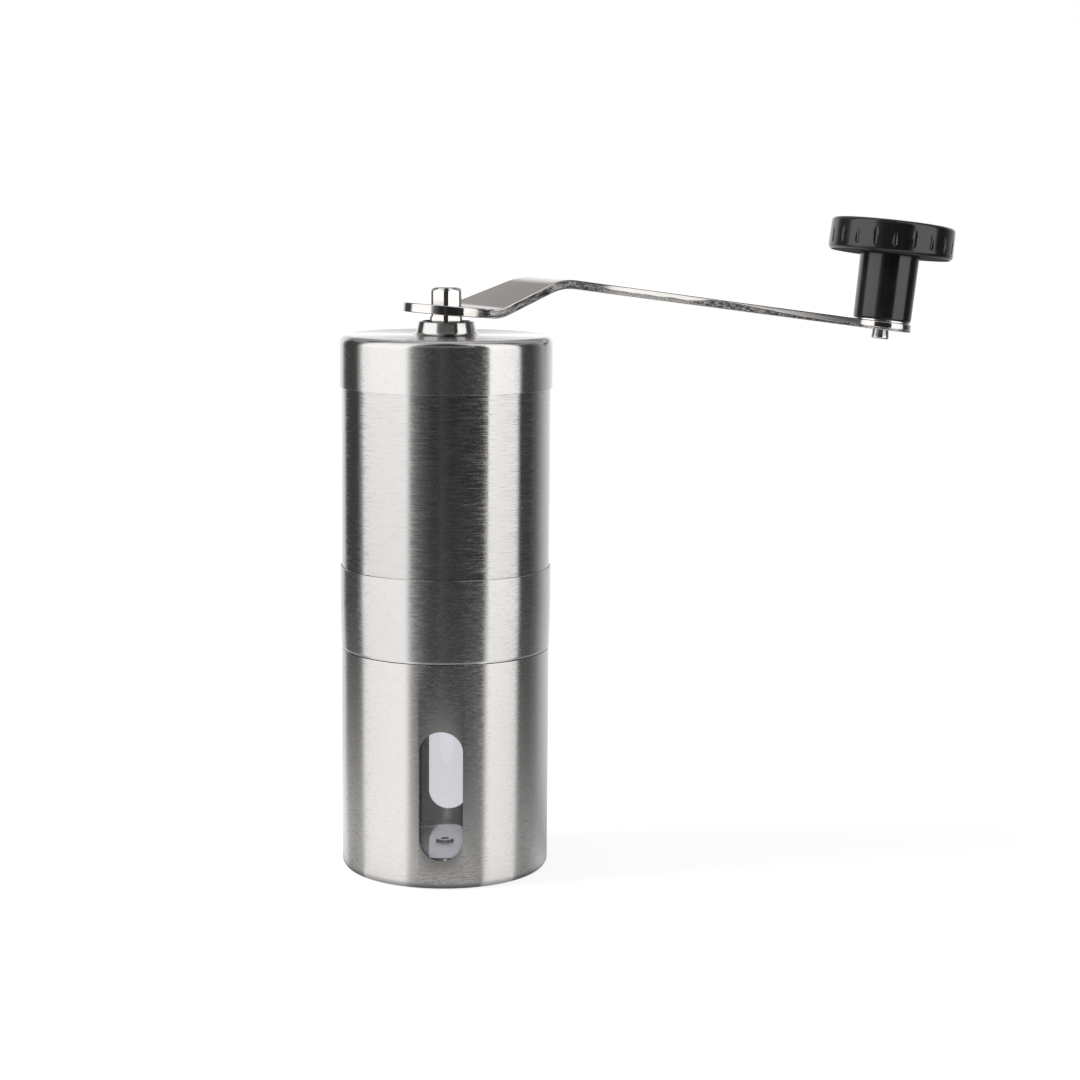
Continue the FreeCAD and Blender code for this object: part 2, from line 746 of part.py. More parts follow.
def make_crank_arm():
    """Stamped steel strip: round hub with a loose hexagon hole, two bends, a long arm and a round eye."""
    low_start, low_bends, low_end = strip_line(0)
    top_start, top_bends, top_end = strip_line(arm_thickness)

    def side(start, bends, end):
        edges = []
        last = start
        for first, middle, after in bends:
            edges.append(Part.LineSegment(last, first).toShape())
            edges.append(Part.Arc(first, middle, after).toShape())
            last = after
        edges.append(Part.LineSegment(last, end).toShape())
        return edges

    outline = side(low_start, low_bends, low_end) + side(top_start, top_bends, top_end)
    outline.append(Part.LineSegment(low_start, top_start).toShape())
    outline.append(Part.LineSegment(low_end, top_end).toShape())
    face = Part.Face(Part.Wire(Part.__sortEdges__(outline)))
    width = 2 * hub_radius + 2
    strip = face.extrude(Vector(0, width, 0))
    strip.translate(Vector(0, -width / 2, 0))

    half = arm_width / 2
    pin_half = arm_width_at_pin / 2
    taper_end = taper_start + taper_length
    shoulders = [(0, -hub_radius), (taper_start, -hub_radius, 25), (taper_end, -half, 25),
                 (crank_reach, -pin_half), (crank_reach, pin_half), (taper_end, half, 25),
                 (taper_start, hub_radius, 25), (0, hub_radius)]
    plan = extruded(shoulders, -20, 60)
    narrowing = math.atan2(half - pin_half, crank_reach - taper_end)
    outward = Vector(math.sin(narrowing), math.cos(narrowing), 0)
    onward = Vector(math.cos(narrowing), -math.sin(narrowing), 0)
    eye = Vector(crank_reach, 0, 0)
    beside = Vector(crank_reach, pin_half, 0) + outward * eye_neck_radius - eye
    near = beside.dot(onward)
    back = near + math.sqrt(near ** 2 - beside.dot(beside) + (eye_radius + eye_neck_radius) ** 2)
    neck = eye + beside - onward * back
    first = math.atan2(-outward.y, -outward.x)
    last = math.atan2(eye.y - neck.y, eye.x - neck.x)

    def on_neck(angle, flip):
        return Vector(neck.x + eye_neck_radius * math.cos(angle),
                      flip * (neck.y + eye_neck_radius * math.sin(angle)), -20)

    necks = [[on_neck(angle, flip) for angle in (first, (first + last) / 2, last)] for flip in (1, -1)]
    web = [Part.Arc(*points).toShape() for points in necks]
    web += [Part.LineSegment(necks[0][k], necks[1][k]).toShape() for k in (0, 2)]
    ends = [Part.makeCylinder(hub_radius, 60, Vector(0, 0, -20)),
            Part.makeCylinder(eye_radius, 60, Vector(crank_reach, 0, -20)),
            Part.Face(Part.Wire(Part.__sortEdges__(web))).extrude(Vector(0, 0, 60))]
    strip = strip.common(plan.fuse(ends).removeSplitter())
    loose_hex = turned(hexagon(hex_head + crank_play, -1, arm_thickness + 2), -crank_azimuth)
    pin_hole = placed(cylinder(pin_shank_radius, -arm_thickness - 1, arm_thickness + 2), pin_frame())
    return placed(strip.cut(loose_hex).cut(pin_hole), crank_frame())


def make_knob_pin():
    """Shouldered rivet: peened below the arm, with a head inside the knob."""
    tail = arm_thickness + pin_tail
    pin = revolved([
        (0, -tail), (pin_tail_radius - 0.3, -tail), (pin_tail_radius, -tail + 0.4),
        (pin_tail_radius - 0.15, -arm_thickness), (pin_shank_radius, -arm_thickness),
        (pin_shank_radius, 0), (pin_radius, 0),
        (pin_radius, pin_head_bottom), (pin_head_radius, pin_head_bottom),
        (pin_head_radius, pin_head_top, 0.5), (0, pin_head_top)])
    return placed(pin, knob_frame())


def make_knob_washer():
    """Steel washer between the arm and the knob."""
    inner = pin_radius
    washer = revolved([
        (inner, 0), (knob_washer_radius, 0, 0.15), (knob_washer_radius, knob_washer, 0.15),
        (inner, knob_washer)])
    return placed(washer, knob_frame())


def make_knob_grip():
    """Turned-looking plastic knob: stem and notched head in one moulding, hollow at the top."""
    bottom = knob_base + knob_end_play
    cap_seat = knob_head_top - knob_cap_thickness
    pocket_floor = pin_head_bottom - knob_end_play
    grip = revolved([
        (pin_bore, bottom), (stem_bottom_radius, bottom, 0.4),
        (stem_top_radius, knob_head_bottom + knob_dish, 0.8),
        (knob_radius - knob_dish_rim, knob_head_bottom), (knob_radius, knob_head_bottom, knob_edge),
        (knob_top_radius, knob_head_top, knob_edge), (knob_pocket_radius, knob_head_top),
        (knob_pocket_radius, cap_seat), (pin_head_radius + 1.6, cap_seat),
        (pin_head_radius + 1.6, pocket_floor), (pin_bore, pocket_floor)])
    low = Vector(knob_radius + knob_notch_radius - knob_notch_depth, 0, knob_head_bottom - 1)
    high = Vector(knob_top_radius + knob_notch_radius, 0, knob_head_top - knob_notch_stop)
    axis = high - low
    notch = Part.makeCylinder(knob_notch_radius, axis.Length, low, axis)
    first = math.degrees(-math.pi / 2) + knob_notch_turn - crank_azimuth
    return placed(grip.cut(around(notch, knob_notches, first)), knob_frame())


def make_knob_cap():
    """Plastic disc pressed into the knob's top over the pin's head."""
    bottom = knob_head_top - knob_cap_thickness
    radius = knob_pocket_radius - knob_cap_fit
    lip = pin_head_radius + 1.6 - knob_cap_fit
    cap = revolved([
        (0, bottom), (lip - 1.2, bottom), (lip - 1.2, bottom - 0.8), (lip, bottom - 0.8),
        (lip, bottom), (radius, bottom), (radius, knob_head_top, 0.3), (0, knob_head_top)])
    return placed(cap, knob_frame())


PIECES = {
    "cup_shell": make_cup_shell,
    "cup_liner": make_cup_liner,
    "hopper_tube": make_hopper_tube,
    "middle_band": make_middle_band,
    "burr_housing": make_burr_housing,
    "shaft_bridge": make_shaft_bridge,
    "shaft_bushing": make_shaft_bushing,
    "outer_burr": make_outer_burr,
    "burr_retainer": make_burr_retainer,
    "lid_shell": make_lid_shell,
    "lid_liner": make_lid_liner,
    "lid_bushing": make_lid_bushing,
    "drive_shaft": make_drive_shaft,
    "shaft_washers": make_shaft_washers,
    "shaft_clip": make_shaft_clip,
    "burr_spring": make_burr_spring,
    "inner_burr": make_inner_burr,
    "burr_core": make_burr_core,
    "adjust_dial": make_adjust_dial,
    "dial_insert": make_dial_insert,
    "crank_arm": make_crank_arm,
    "knob_pin": make_knob_pin,
    "knob_washer": make_knob_washer,
    "knob_grip": make_knob_grip,
    "knob_cap": make_knob_cap,
}

os.makedirs("parts", exist_ok=True)
for name, make in PIECES.items():
    shape = make()
    solids = len(shape.Solids)
    print("%-14s solids %d volume %.1f valid %s" % (name, solids, shape.Volume, shape.isValid()))
    shape.exportStep("parts/%s.step" % name)
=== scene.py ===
"""Looks of the manual coffee grinder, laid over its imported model. Lengths are in metres."""
import math
import bmesh
import bpy
from mathutils import Matrix, Vector


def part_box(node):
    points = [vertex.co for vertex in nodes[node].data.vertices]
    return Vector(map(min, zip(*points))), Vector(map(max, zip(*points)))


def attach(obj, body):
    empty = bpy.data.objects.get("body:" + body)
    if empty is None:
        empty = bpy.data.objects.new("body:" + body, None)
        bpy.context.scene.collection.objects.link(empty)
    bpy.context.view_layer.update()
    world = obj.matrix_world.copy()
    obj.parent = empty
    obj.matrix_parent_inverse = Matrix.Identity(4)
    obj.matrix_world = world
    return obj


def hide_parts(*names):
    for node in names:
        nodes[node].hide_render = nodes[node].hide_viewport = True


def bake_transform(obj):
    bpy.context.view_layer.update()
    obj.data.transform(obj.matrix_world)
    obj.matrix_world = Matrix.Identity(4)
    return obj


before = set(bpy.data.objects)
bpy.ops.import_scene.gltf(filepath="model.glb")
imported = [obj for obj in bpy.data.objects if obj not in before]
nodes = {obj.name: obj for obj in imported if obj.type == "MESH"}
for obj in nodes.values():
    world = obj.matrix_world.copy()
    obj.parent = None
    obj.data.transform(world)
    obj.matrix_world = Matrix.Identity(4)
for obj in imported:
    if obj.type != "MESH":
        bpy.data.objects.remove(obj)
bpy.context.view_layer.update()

scene = bpy.context.scene
mm = 0.001

# The studio: a white floor and background, a camera a little above the lid looking slightly
# down, and a key lamp on the left that lays a faint shadow to the right.
def linked(name, data):
    """New object in the scene that holds the data."""
    made = bpy.data.objects.new(name, data)
    scene.collection.objects.link(made)
    return made


camera_data = bpy.data.cameras.new("camera")
camera_data.sensor_width = 36
camera_data.lens = 80.88
camera_data.clip_start = 0.01
camera = linked("camera", camera_data)
tilt_down = 0.1495
roll = 0.0087
aim = Matrix.Rotation(math.pi / 2 - tilt_down, 4, "X") @ Matrix.Rotation(roll, 4, "Z")
camera.matrix_world = Matrix.Translation(Vector((21.375, -544.38, 157.32)) * mm) @ aim
scene.camera = camera
scene.view_settings.view_transform = "Standard"


class Tree:
    """Short hand for building a node tree: adds nodes, sets their inputs and links them."""

    def __init__(self, tree):
        self.tree = tree
        tree.nodes.clear()

    def add(self, kind, inputs=None, **settings):
        made = self.tree.nodes.new(kind)
        for name, value in settings.items():
            setattr(made, name, value)
        for name, value in (inputs or {}).items():
            if isinstance(value, bpy.types.NodeSocket):
                self.tree.links.new(value, made.inputs[name])
            else:
                made.inputs[name].default_value = value
        return made

    def object_place(self):
        return self.add("ShaderNodeTexCoord").outputs["Object"]

    def math(self, operation, a, b=0.0):
        return self.add("ShaderNodeMath", {0: a, 1: b}, operation=operation).outputs[0]

    def between(self, share, low, high):
        return self.math("ADD", self.math("MULTIPLY", self.math("SUBTRACT", high, low), share), low)

    def vector(self, operation, a, b=(0, 0, 0)):
        made = self.add("ShaderNodeVectorMath", {0: a, 1: b}, operation=operation)
        return made.outputs["Value" if operation in ("LENGTH", "DOT_PRODUCT") else "Vector"]

    def noise(self, vector, scale, detail, roughness=0.5):
        return self.add("ShaderNodeTexNoise", {"Vector": vector, "Scale": scale, "Detail": detail,
                                               "Roughness": roughness}).outputs[0]

    def scaled(self, value, low, high, to_low=0.0, to_high=1.0):
        return self.add("ShaderNodeMapRange", {"Value": value, "From Min": low, "From Max": high,
                                               "To Min": to_low, "To Max": to_high}).outputs[0]

    def mix(self, factor, a, b, blend="MIX"):
        made = self.add("ShaderNodeMix", {0: factor, 6: a, 7: b}, data_type="RGBA", blend_type=blend)
        return made.outputs[2]

    def ramp(self, value, stops):
        """Colour ramp through (place, shade), each shade a grey level or a colour."""
        made = self.add("ShaderNodeValToRGB", {0: value})
        elements = made.color_ramp.elements
        while len(elements) < len(stops):
            elements.new(0.5)
        for element, (place, shade) in zip(elements, stops):
            element.position = place
            element.color = grey(shade) if isinstance(shade, (int, float)) else (*shade[:3], 1)
        return made.outputs[0]


def new_material(name):
    """Empty material and its node tree."""
    material = bpy.data.materials.new(name)
    material.use_nodes = True
    return material, Tree(material.node_tree)


def mesh_of(name, made):
    """Mesh of a finished bmesh, which is freed."""
    mesh = bpy.data.meshes.new(name)
    made.to_mesh(mesh)
    made.free()
    return mesh


def grey(level, tint=(1.0, 1.0, 1.0)):
    return (level * tint[0], level * tint[1], level * tint[2], 1)


cool = (0.985, 0.975, 1.0)
warm = (1.0, 0.985, 0.97)
panels = bpy.data.node_groups.new("panels", "ShaderNodeTree")
panels.interface.new_socket("Direction", in_out="INPUT", socket_type="NodeSocketVector")
panels.interface.new_socket("Spread", in_out="INPUT", socket_type="NodeSocketFloat").default_value = 1.0
panels.interface.new_socket("Wall", in_out="OUTPUT", socket_type="NodeSocketColor")
panels.interface.new_socket("Floor", in_out="OUTPUT", socket_type="NodeSocketColor")
around = Tree(panels)
asked = around.add("NodeGroupInput").outputs
toward = around.add("ShaderNodeSeparateXYZ", {0: asked["Direction"]}).outputs
azimuth = around.math("ARCTAN2", toward["X"], around.math("MULTIPLY", toward["Y"], -1))
azimuth = around.math("MULTIPLY", around.math("DIVIDE", azimuth, 2 * math.pi), asked["Spread"])
azimuth = around.math("ADD", azimuth, 0.5)
shades = {}
for name, side, left, soft, begin, right in (("Wall", 0.08, -105, 5, 37, 89),
                                             ("Floor", 0.06, -100.5, 2.5, 44, 88)):
    stops = []
    for degrees, shade in ((-180, 1.2), (-149, 1.15), (-137.5, side), (left - soft, side), (left, 0.55),
                           (left + soft, 1.6), (-42.5, 1.65), (-40, 1.3), (-36, 0.44), (-32, 0.25),
                           (-27, 0.14), (-20, 0.07), (-13, 0.03), (-7, 0.03), (-3, 0.06), (2, 0.04),
                           (8, 0.02), (begin, 0.03), (begin + 3.8, 1.75), (right - 2, 1.6), (right, 0.8),
                           (right + 2, side), (108, 0.06), (120, 0.2), (138, 0.75), (160, 1.1), (180, 1.2)):
        stops.append((degrees / 360 + 0.5, grey(shade, warm if 0.5 < shade and abs(degrees) < 110 else cool)))
    shades[name] = around.ramp(azimuth, stops)
around.add("NodeGroupOutput", shades)

world = bpy.data.worlds.new("studio")
world.use_nodes = True
world.cycles_visibility.glossy = False
scene.world = world
studio = Tree(world.node_tree)
ray = studio.add("ShaderNodeLightPath")
seen = studio.math("MAXIMUM", ray.outputs["Is Camera Ray"], ray.outputs["Is Transmission Ray"])
shown = studio.mix(seen, grey(0.75), grey(1.0))
sky = studio.add("ShaderNodeBackground", {"Color": shown, "Strength": 1.0})
studio.add("ShaderNodeOutputWorld", {"Surface": sky.outputs[0]})


def reflected_only(name, made, colour_of):
    """A studio card or tent that only shows in reflections."""
    card = linked(name, mesh_of(name, made))
    card.visible_camera = card.visible_diffuse = card.visible_transmission = card.visible_shadow = False
    material, tree = new_material(name)
    glow = tree.add("ShaderNodeEmission", {"Color": colour_of(tree)})
    tree.add("ShaderNodeOutputMaterial", {"Surface": glow.outputs[0]})
    card.data.materials.append(material)


tent_middle = 0.1


def tent_light(tree):
    """Brightness of the tent: its hung panels, by height beside and behind, and a strip overhead."""
    centred = tree.vector("ADD", tree.object_place(), (0, 0, -tent_middle))
    way = tree.add("ShaderNodeSeparateXYZ", {0: tree.vector("NORMALIZE", centred)}).outputs
    height = tree.math("ADD", tree.math("MULTIPLY", way["Z"], 0.5), 0.5)
    backward = tree.math("ADD", tree.math("MULTIPLY", way["Y"], 0.5), 0.5)
    beside = tree.ramp(height, [(0.0, 0.3), (0.44, 0.85), (0.482, 0.88), (0.505, 1.05), (0.56, 1.0),
                                (0.85, 0.9), (1.0, 0.6)])
    tan = (1.05, 1.0, 0.95)
    behind = tree.ramp(height, [(0.0, 0.3), (0.5, 0.95), (0.56, 0.95), (0.66, 0.8), (0.72, grey(0.34, tan)),
                                (0.76, grey(0.3, tan)), (1.0, 0.3)])
    lit_height = tree.mix(tree.ramp(backward, [(0.75, 0.0), (0.85, 1.0)]), beside, behind)
    leaning = tree.scaled(height, 0.488, 0.5, 1.0, 1.03)
    wall = tree.add("ShaderNodeGroup", {"Direction": centred, "Spread": leaning}, node_tree=panels)
    overhead = tree.ramp(height, [(0.71, 0.0), (0.74, 0.35), (0.82, 0.35), (0.85, 0.0)])
    lights = tree.mix(1.0, wall.outputs["Wall"], lit_height, "MULTIPLY")
    return tree.mix(1.0, lights, overhead, "LIGHTEN")


tent = bmesh.new()
bmesh.ops.create_uvsphere(tent, u_segments=48, v_segments=24, radius=0.8)
bmesh.ops.translate(tent, verts=tent.verts, vec=(0, 0, tent_middle))
reflected_only("tent", tent, tent_light)
flag = bmesh.new()
flag.faces.new([flag.verts.new(corner) for corner in (
    (0.27, -0.372, 0), (0.370, -0.3318, 0), (0.370, -0.3318, 0.8), (0.27, -0.372, 0.8))])
reflected_only("black_flag", flag, lambda tree: grey(0.03))

floor_mesh = bpy.data.meshes.new("floor")
floor_half = 4.0
floor_mesh.from_pydata([(-floor_half, -floor_half, 0), (floor_half, -floor_half, 0),
                        (floor_half, floor_half, 0), (-floor_half, floor_half, 0)], [], [(0, 1, 2, 3)])
linked("floor", floor_mesh)
paper, sheet = new_material("white_paper")
floor_mesh.materials.append(paper)
place = sheet.object_place()
distance = sheet.vector("LENGTH", place)
twice = sheet.math("MULTIPLY", distance, 2.0)
mill_radius = 0.0235
opening = sheet.math("DIVIDE", sheet.math("DIVIDE", twice, 1.015), sheet.math("SUBTRACT", twice, mill_radius))
hung = sheet.add("ShaderNodeGroup", {"Direction": place, "Spread": opening}, node_tree=panels)
# To reflections the floor shows painted light, not its lit self: every ramp by distance falls to near black at the
# cup's foot, a painted contact shadow, and the right side stays dimmer than the left, a painted shadow side.
passed_on = sheet.ramp(distance, [(0.0228, 0.03), (0.024, 0.3), (0.03, 0.4), (0.045, 0.45), (0.1, 0.5),
                                  (0.21, 0.69), (0.345, 0.78), (0.74, 0.76)])
heading = sheet.vector("NORMALIZE", place)
heading_x = sheet.add("ShaderNodeSeparateXYZ", {0: heading}).outputs["X"]
aside = sheet.math("ADD", sheet.math("MULTIPLY", heading_x, 0.5), 0.5)
front = sheet.ramp(distance, [(0.0222, 0.02), (0.0238, grey(0.2, cool)), (0.026, grey(0.55, warm)),
                              (0.036, grey(0.68, warm)), (0.055, grey(0.6, warm)), (0.08, 0.25),
                              (0.12, 0.04), (0.2, 0.04), (0.345, 0.08), (0.74, 0.03)])
left_side = sheet.ramp(distance, [(0.0222, 0.02), (0.0238, grey(0.2, cool)), (0.026, 0.5), (0.055, 0.6),
                                  (0.1, 0.45), (0.15, 0.3), (0.2, 0.15), (0.27, 0.05), (0.345, 0.02)])
right_side = sheet.ramp(distance, [(0.0222, 0.02), (0.0238, grey(0.15, cool)), (0.026, 0.4), (0.055, 0.45),
                                   (0.1, 0.33), (0.131, 0.17), (0.22, 0.06), (0.345, 0.02)])
own = sheet.mix(sheet.ramp(aside, [(0.22, 0.0), (0.35, 1.0)]), left_side, front)
own = sheet.mix(sheet.ramp(aside, [(0.65, 0.0), (0.78, 1.0)]), own, right_side)
mirrored = sheet.mix(1.0, sheet.mix(1.0, hung.outputs["Floor"], passed_on, "MULTIPLY"), own, "ADD")
# Painted shadow: the floor's glow in reflections is darkened to the right of and behind the mill, where its shadow
# falls, fading out by 0.15 m.
painted_lee_shadow = sheet.ramp(sheet.vector("DOT_PRODUCT", heading, (0.75, 0.66, 0)), [(0.72, 0.0), (0.96, 1.0)])
painted_lee_shadow = sheet.math("MULTIPLY", painted_lee_shadow, sheet.ramp(distance, [(0.03, 0.5), (0.055, 0.45), (0.1, 0.18), (0.15, 0.0)]))
mirrored = sheet.mix(painted_lee_shadow, mirrored, grey(0.0))
floor_ray = sheet.add("ShaderNodeLightPath").outputs
white = sheet.ramp(distance, [(0.0, 0.86), (0.2, 0.86), (0.55, 1.0)])
glow = sheet.mix(floor_ray["Is Camera Ray"], mirrored, white)
glow = sheet.mix(floor_ray["Is Transmission Ray"], glow, grey(0.9))
shade = sheet.mix(floor_ray["Is Glossy Ray"], grey(0.16), grey(0.0))
lit = sheet.add("ShaderNodeBsdfDiffuse", {"Color": shade})
shine = sheet.add("ShaderNodeEmission", {"Color": glow})
both = sheet.add("ShaderNodeAddShader", {0: lit.outputs[0], 1: shine.outputs[0]})
sheet.add("ShaderNodeOutputMaterial", {"Surface": both.outputs[0]})

key_data = bpy.data.lights.new("key", "AREA")
key_data.shape = "DISK"
key_data.size = 0.35
key_data.energy = 9.0
key = linked("key", key_data)
key.location = (-0.62, -0.12, 0.6)
key.rotation_mode = "QUATERNION"
key.rotation_quaternion = (Vector((0.02, 0, 0.05)) - key.location).to_track_quat("-Z", "Y")
key.visible_glossy = False

# Grounds cup: a drawn stainless steel cup, brushed around its axis, with two long windows that
# were punched opposite each other and left with a fine rolled edge.
def rounded(corners, step=math.radians(11)):
    """Points (radius, height) in metres of a closed outline in mm, corners with a third number rounded."""
    points = []
    count = len(corners)
    for i, corner in enumerate(corners):
        here = Vector(corner[:2])
        fillet = corner[2] if len(corner) > 2 else 0.0
        if fillet == 0.0:
            points.append(here)
            continue
        back = (Vector(corners[i - 1][:2]) - here).normalized()
        on = (Vector(corners[(i + 1) % count][:2]) - here).normalized()
        half = back.angle(on) / 2
        cut = fillet / math.tan(half)
        centre = here + (back + on).normalized() * (fillet / math.sin(half))
        first = here + back * cut - centre
        last = here + on * cut - centre
        turn = first.angle_signed(last)
        pieces = max(2, math.ceil(abs(turn) / step))
        points.append(centre + first + back * 0.08)
        for k in range(pieces + 1):
            points.append(centre + Matrix.Rotation(-turn * k / pieces, 2) @ first)
        points.append(centre + last + on * 0.08)
    return [point * mm for point in points]


def smoothed(mesh, sharp):
    """Shades the mesh smooth except along edges sharper than the angle in degrees."""
    for face in mesh.polygons:
        face.use_smooth = True
    mesh.set_sharp_from_angle(angle=math.radians(sharp))


def new_piece(name, made, sharp=35):
    """Object from a closed bmesh, shaded smooth except along sharp edges."""
    bmesh.ops.recalc_face_normals(made, faces=made.faces)
    mesh = mesh_of(name, made)
    smoothed(mesh, sharp)
    return linked(name, mesh)


def spun(name, corners, steps=288):
    """Closed solid of revolution about Z from an outline in mm."""
    outline = rounded(corners)
    made = bmesh.new()
    rings = []
    for point in outline:
        if point.x < 1e-7:
            rings.append([made.verts.new((0, 0, point.y))])
        else:
            rings.append([made.verts.new((point.x * math.cos(2 * math.pi * k / steps),
                                          point.x * math.sin(2 * math.pi * k / steps), point.y))
                          for k in range(steps)])
    for a, b in zip(rings, rings[1:] + rings[:1]):
        if len(a) == 1 and len(b) == 1:
            continue
        for k in range(steps):
            n = (k + 1) % steps
            corner = [a[0]] if len(a) == 1 else [a[k], a[n]]
            corner += [b[0]] if len(b) == 1 else [b[n], b[k]]
            made.faces.new(corner)
    return new_piece(name, made)


def finished(piece, body, slot, material, *replaced):
    """Gives a piece its finish and says which body it rides on and which nodes it stands for."""
    piece.data.materials.clear()
    piece.data.materials.append(material)
    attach(piece, body)
    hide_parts(*replaced)


def settled(piece):
    """Turns the piece's modifiers into plain mesh."""
    bpy.context.view_layer.update()
    mesh = bpy.data.meshes.new_from_object(piece.evaluated_get(bpy.context.evaluated_depsgraph_get()))
    piece.modifiers.clear()
    piece.data = mesh
    return piece


brushing = bpy.data.node_groups.new("brushing", "ShaderNodeTree")
brushing.interface.new_socket("Line Length", in_out="INPUT", socket_type="NodeSocketFloat").default_value = 0.004
brushing.interface.new_socket("Line Width", in_out="INPUT", socket_type="NodeSocketFloat").default_value = 0.0003
brushing.interface.new_socket("Lines", in_out="OUTPUT", socket_type="NodeSocketFloat")
brushing.interface.new_socket("Grit", in_out="OUTPUT", socket_type="NodeSocketFloat")
brushing.interface.new_socket("Clouds", in_out="OUTPUT", socket_type="NodeSocketFloat")
lines = Tree(brushing)
asked = lines.add("NodeGroupInput").outputs
place = lines.object_place()
per_length = lines.math("DIVIDE", 1.0, asked["Line Length"])
per_width = lines.math("DIVIDE", 1.0, asked["Line Width"])
stretch = lines.add("ShaderNodeCombineXYZ", {0: per_length, 1: per_length, 2: per_width})
drawn = lines.vector("MULTIPLY", place, stretch.outputs[0])
lines.add("NodeGroupOutput", {"Lines": lines.noise(drawn, 1.0, 3.0, 0.65), "Grit": lines.noise(place, 3200.0, 2.0, 0.6),
                              "Clouds": lines.noise(place, 110.0, 3.0)})


def steel(name, shade, smooth, rough, line_length, line_width, depth, contrast, polished_from=None, inside=None):
    """Stainless steel brushed around Z: most lines are smooth, and the rough ones catch side light. Above the
    height polished_from it is polished, and nearer to Z than inside it is left plain."""
    material, tree = new_material(name)
    marks = tree.add("ShaderNodeGroup", {"Line Length": line_length, "Line Width": line_width},
                     node_tree=brushing).outputs
    drawn = tree.math("ADD", tree.math("MULTIPLY", marks["Lines"], 0.75), tree.math("MULTIPLY", marks["Grit"], 0.25))
    dark = tuple(c * (1 - contrast) for c in shade)
    light = tuple(min(1.0, c * (1 + contrast)) for c in shade)
    colour = tree.ramp(drawn, [(0.4, light), (0.6, dark)])
    finish = tree.scaled(drawn, 0.46, 0.62, smooth, rough)
    relief = tree.math("ADD", drawn, tree.math("MULTIPLY", marks["Clouds"], 8.0))
    place = tree.object_place()
    polished_rough, plain_rough = 0.17, 0.32
    if polished_from:
        height = tree.add("ShaderNodeSeparateXYZ", {0: place}).outputs["Z"]
        brushed = tree.scaled(height, polished_from - 0.0007, polished_from, 1.0, 0.0)
        finish = tree.between(brushed, polished_rough, finish)
        relief = tree.math("MULTIPLY", relief, tree.math("ADD", tree.math("MULTIPLY", brushed, 0.8), 0.2))
    if inside:
        outer = tree.scaled(tree.vector("LENGTH", tree.vector("MULTIPLY", place, (1, 1, 0))), inside, inside + 0.0001)
        finish = tree.between(outer, plain_rough, finish)
        relief = tree.math("MULTIPLY", relief, outer)
        colour = tree.mix(outer, (*shade, 1), colour)
        tangent = tree.add("ShaderNodeCombineXYZ", {2: 1.0})
    else:
        tangent = tree.add("ShaderNodeTangent", direction_type="RADIAL", axis="Z")
    bump = tree.add("ShaderNodeBump", {"Height": relief, "Strength": 1.0, "Distance": depth})
    metal = tree.add("ShaderNodeBsdfPrincipled", {
        "Base Color": colour, "Metallic": 1.0, "Roughness": finish, "Anisotropic": 1.0,
        "Anisotropic Rotation": 0.0 if inside else 0.25, "Tangent": tangent.outputs[0], "Normal": bump.outputs[0]})
    tree.add("ShaderNodeOutputMaterial", {"Surface": metal.outputs[0]})
    return material


cup_steel = steel("cup_steel", (0.62, 0.61, 0.60), 0.19, 0.36, 0.0016, 0.0002, 0.0000008, 0.009, inside=0.02343)
cup = spun("cup", [(0, 0), (23.55, 0, 1.7), (23.55, 50.85, 0.12), (23.05, 50.85, 0.12), (23.05, 0.5, 1.2), (0, 0.5)])
slot_width, slot_low, slot_high = 9.65, 6.6, 35.95
slot_radius = slot_width / 2
arc_steps = 64
rim = []
for start, middle in ((0, slot_high - slot_radius), (math.pi, slot_low + slot_radius)):
    for k in range(arc_steps + 1):
        angle = start + math.pi * k / arc_steps
        rim.append((slot_radius * math.cos(angle), middle + slot_radius * math.sin(angle)))
punch = bmesh.new()
near, far = ([punch.verts.new((x * mm, y * mm, z * mm)) for x, z in rim] for y in (-30, 30))
punch.faces.new(near)
punch.faces.new(list(reversed(far)))
for k in range(len(rim)):
    n = (k + 1) % len(rim)
    punch.faces.new([near[n], near[k], far[k], far[n]])
bmesh.ops.recalc_face_normals(punch, faces=punch.faces)
punch_object = linked("punch", mesh_of("punch", punch))
cutting = cup.modifiers.new("windows", "BOOLEAN")
cutting.object = punch_object
cutting.solver = "EXACT"
rolled = cup.modifiers.new("rolled_edge", "BEVEL")
rolled.width = 0.13 * mm
rolled.segments = 3
rolled.limit_method = "ANGLE"
rolled.angle_limit = math.radians(60)
cup = settled(cup)
bpy.data.objects.remove(punch_object)
cup.data.set_sharp_from_angle(angle=math.radians(50))
finished(cup, "cup", "brushed_steel", cup_steel, "cup_shell")

# Clear inner cup: injection moulded in clear plastic, on a foot ring, with the round mark of the
# gate in the middle of its floor.
clear, tree = new_material("clear_plastic")
place = tree.object_place()
height = tree.add("ShaderNodeSeparateXYZ", {0: place}).outputs["Z"]
frosted = tree.ramp(tree.math("MULTIPLY", height, 100.0), [(0.5, 0.05), (0.6, 0.02)])
matt = tree.math("MULTIPLY", frosted, tree.math("ADD", tree.noise(place, 350.0, 3.0), 0.5))
plastic = tree.add("ShaderNodeBsdfPrincipled", {"Base Color": (0.9, 0.895, 0.925, 1), "Roughness": matt,
                                                "IOR": 1.49, "Transmission Weight": 0.97})
tree.add("ShaderNodeOutputMaterial", {"Surface": plastic.outputs[0]})
liner = spun("inner_cup", [
    (0, 3.65), (14.2, 3.65, 0.2), (14.8, 2.5, 0.2), (20.95, 2.5, 0.2), (20.95, 0.5), (22.95, 0.5, 1.3),
    (22.95, 50.4, 0.2), (21.95, 50.4, 0.2), (21.95, 3.8, 0.8), (15.4, 3.8, 0.4), (14.8, 4.95, 0.4),
    (2.15, 4.95, 0.1), (1.9, 5.55, 0.2), (0.9, 5.55, 0.2), (0.65, 5.15, 0.1), (0, 5.15)])
finished(liner, "cup", "clear_plastic", clear, "cup_liner")

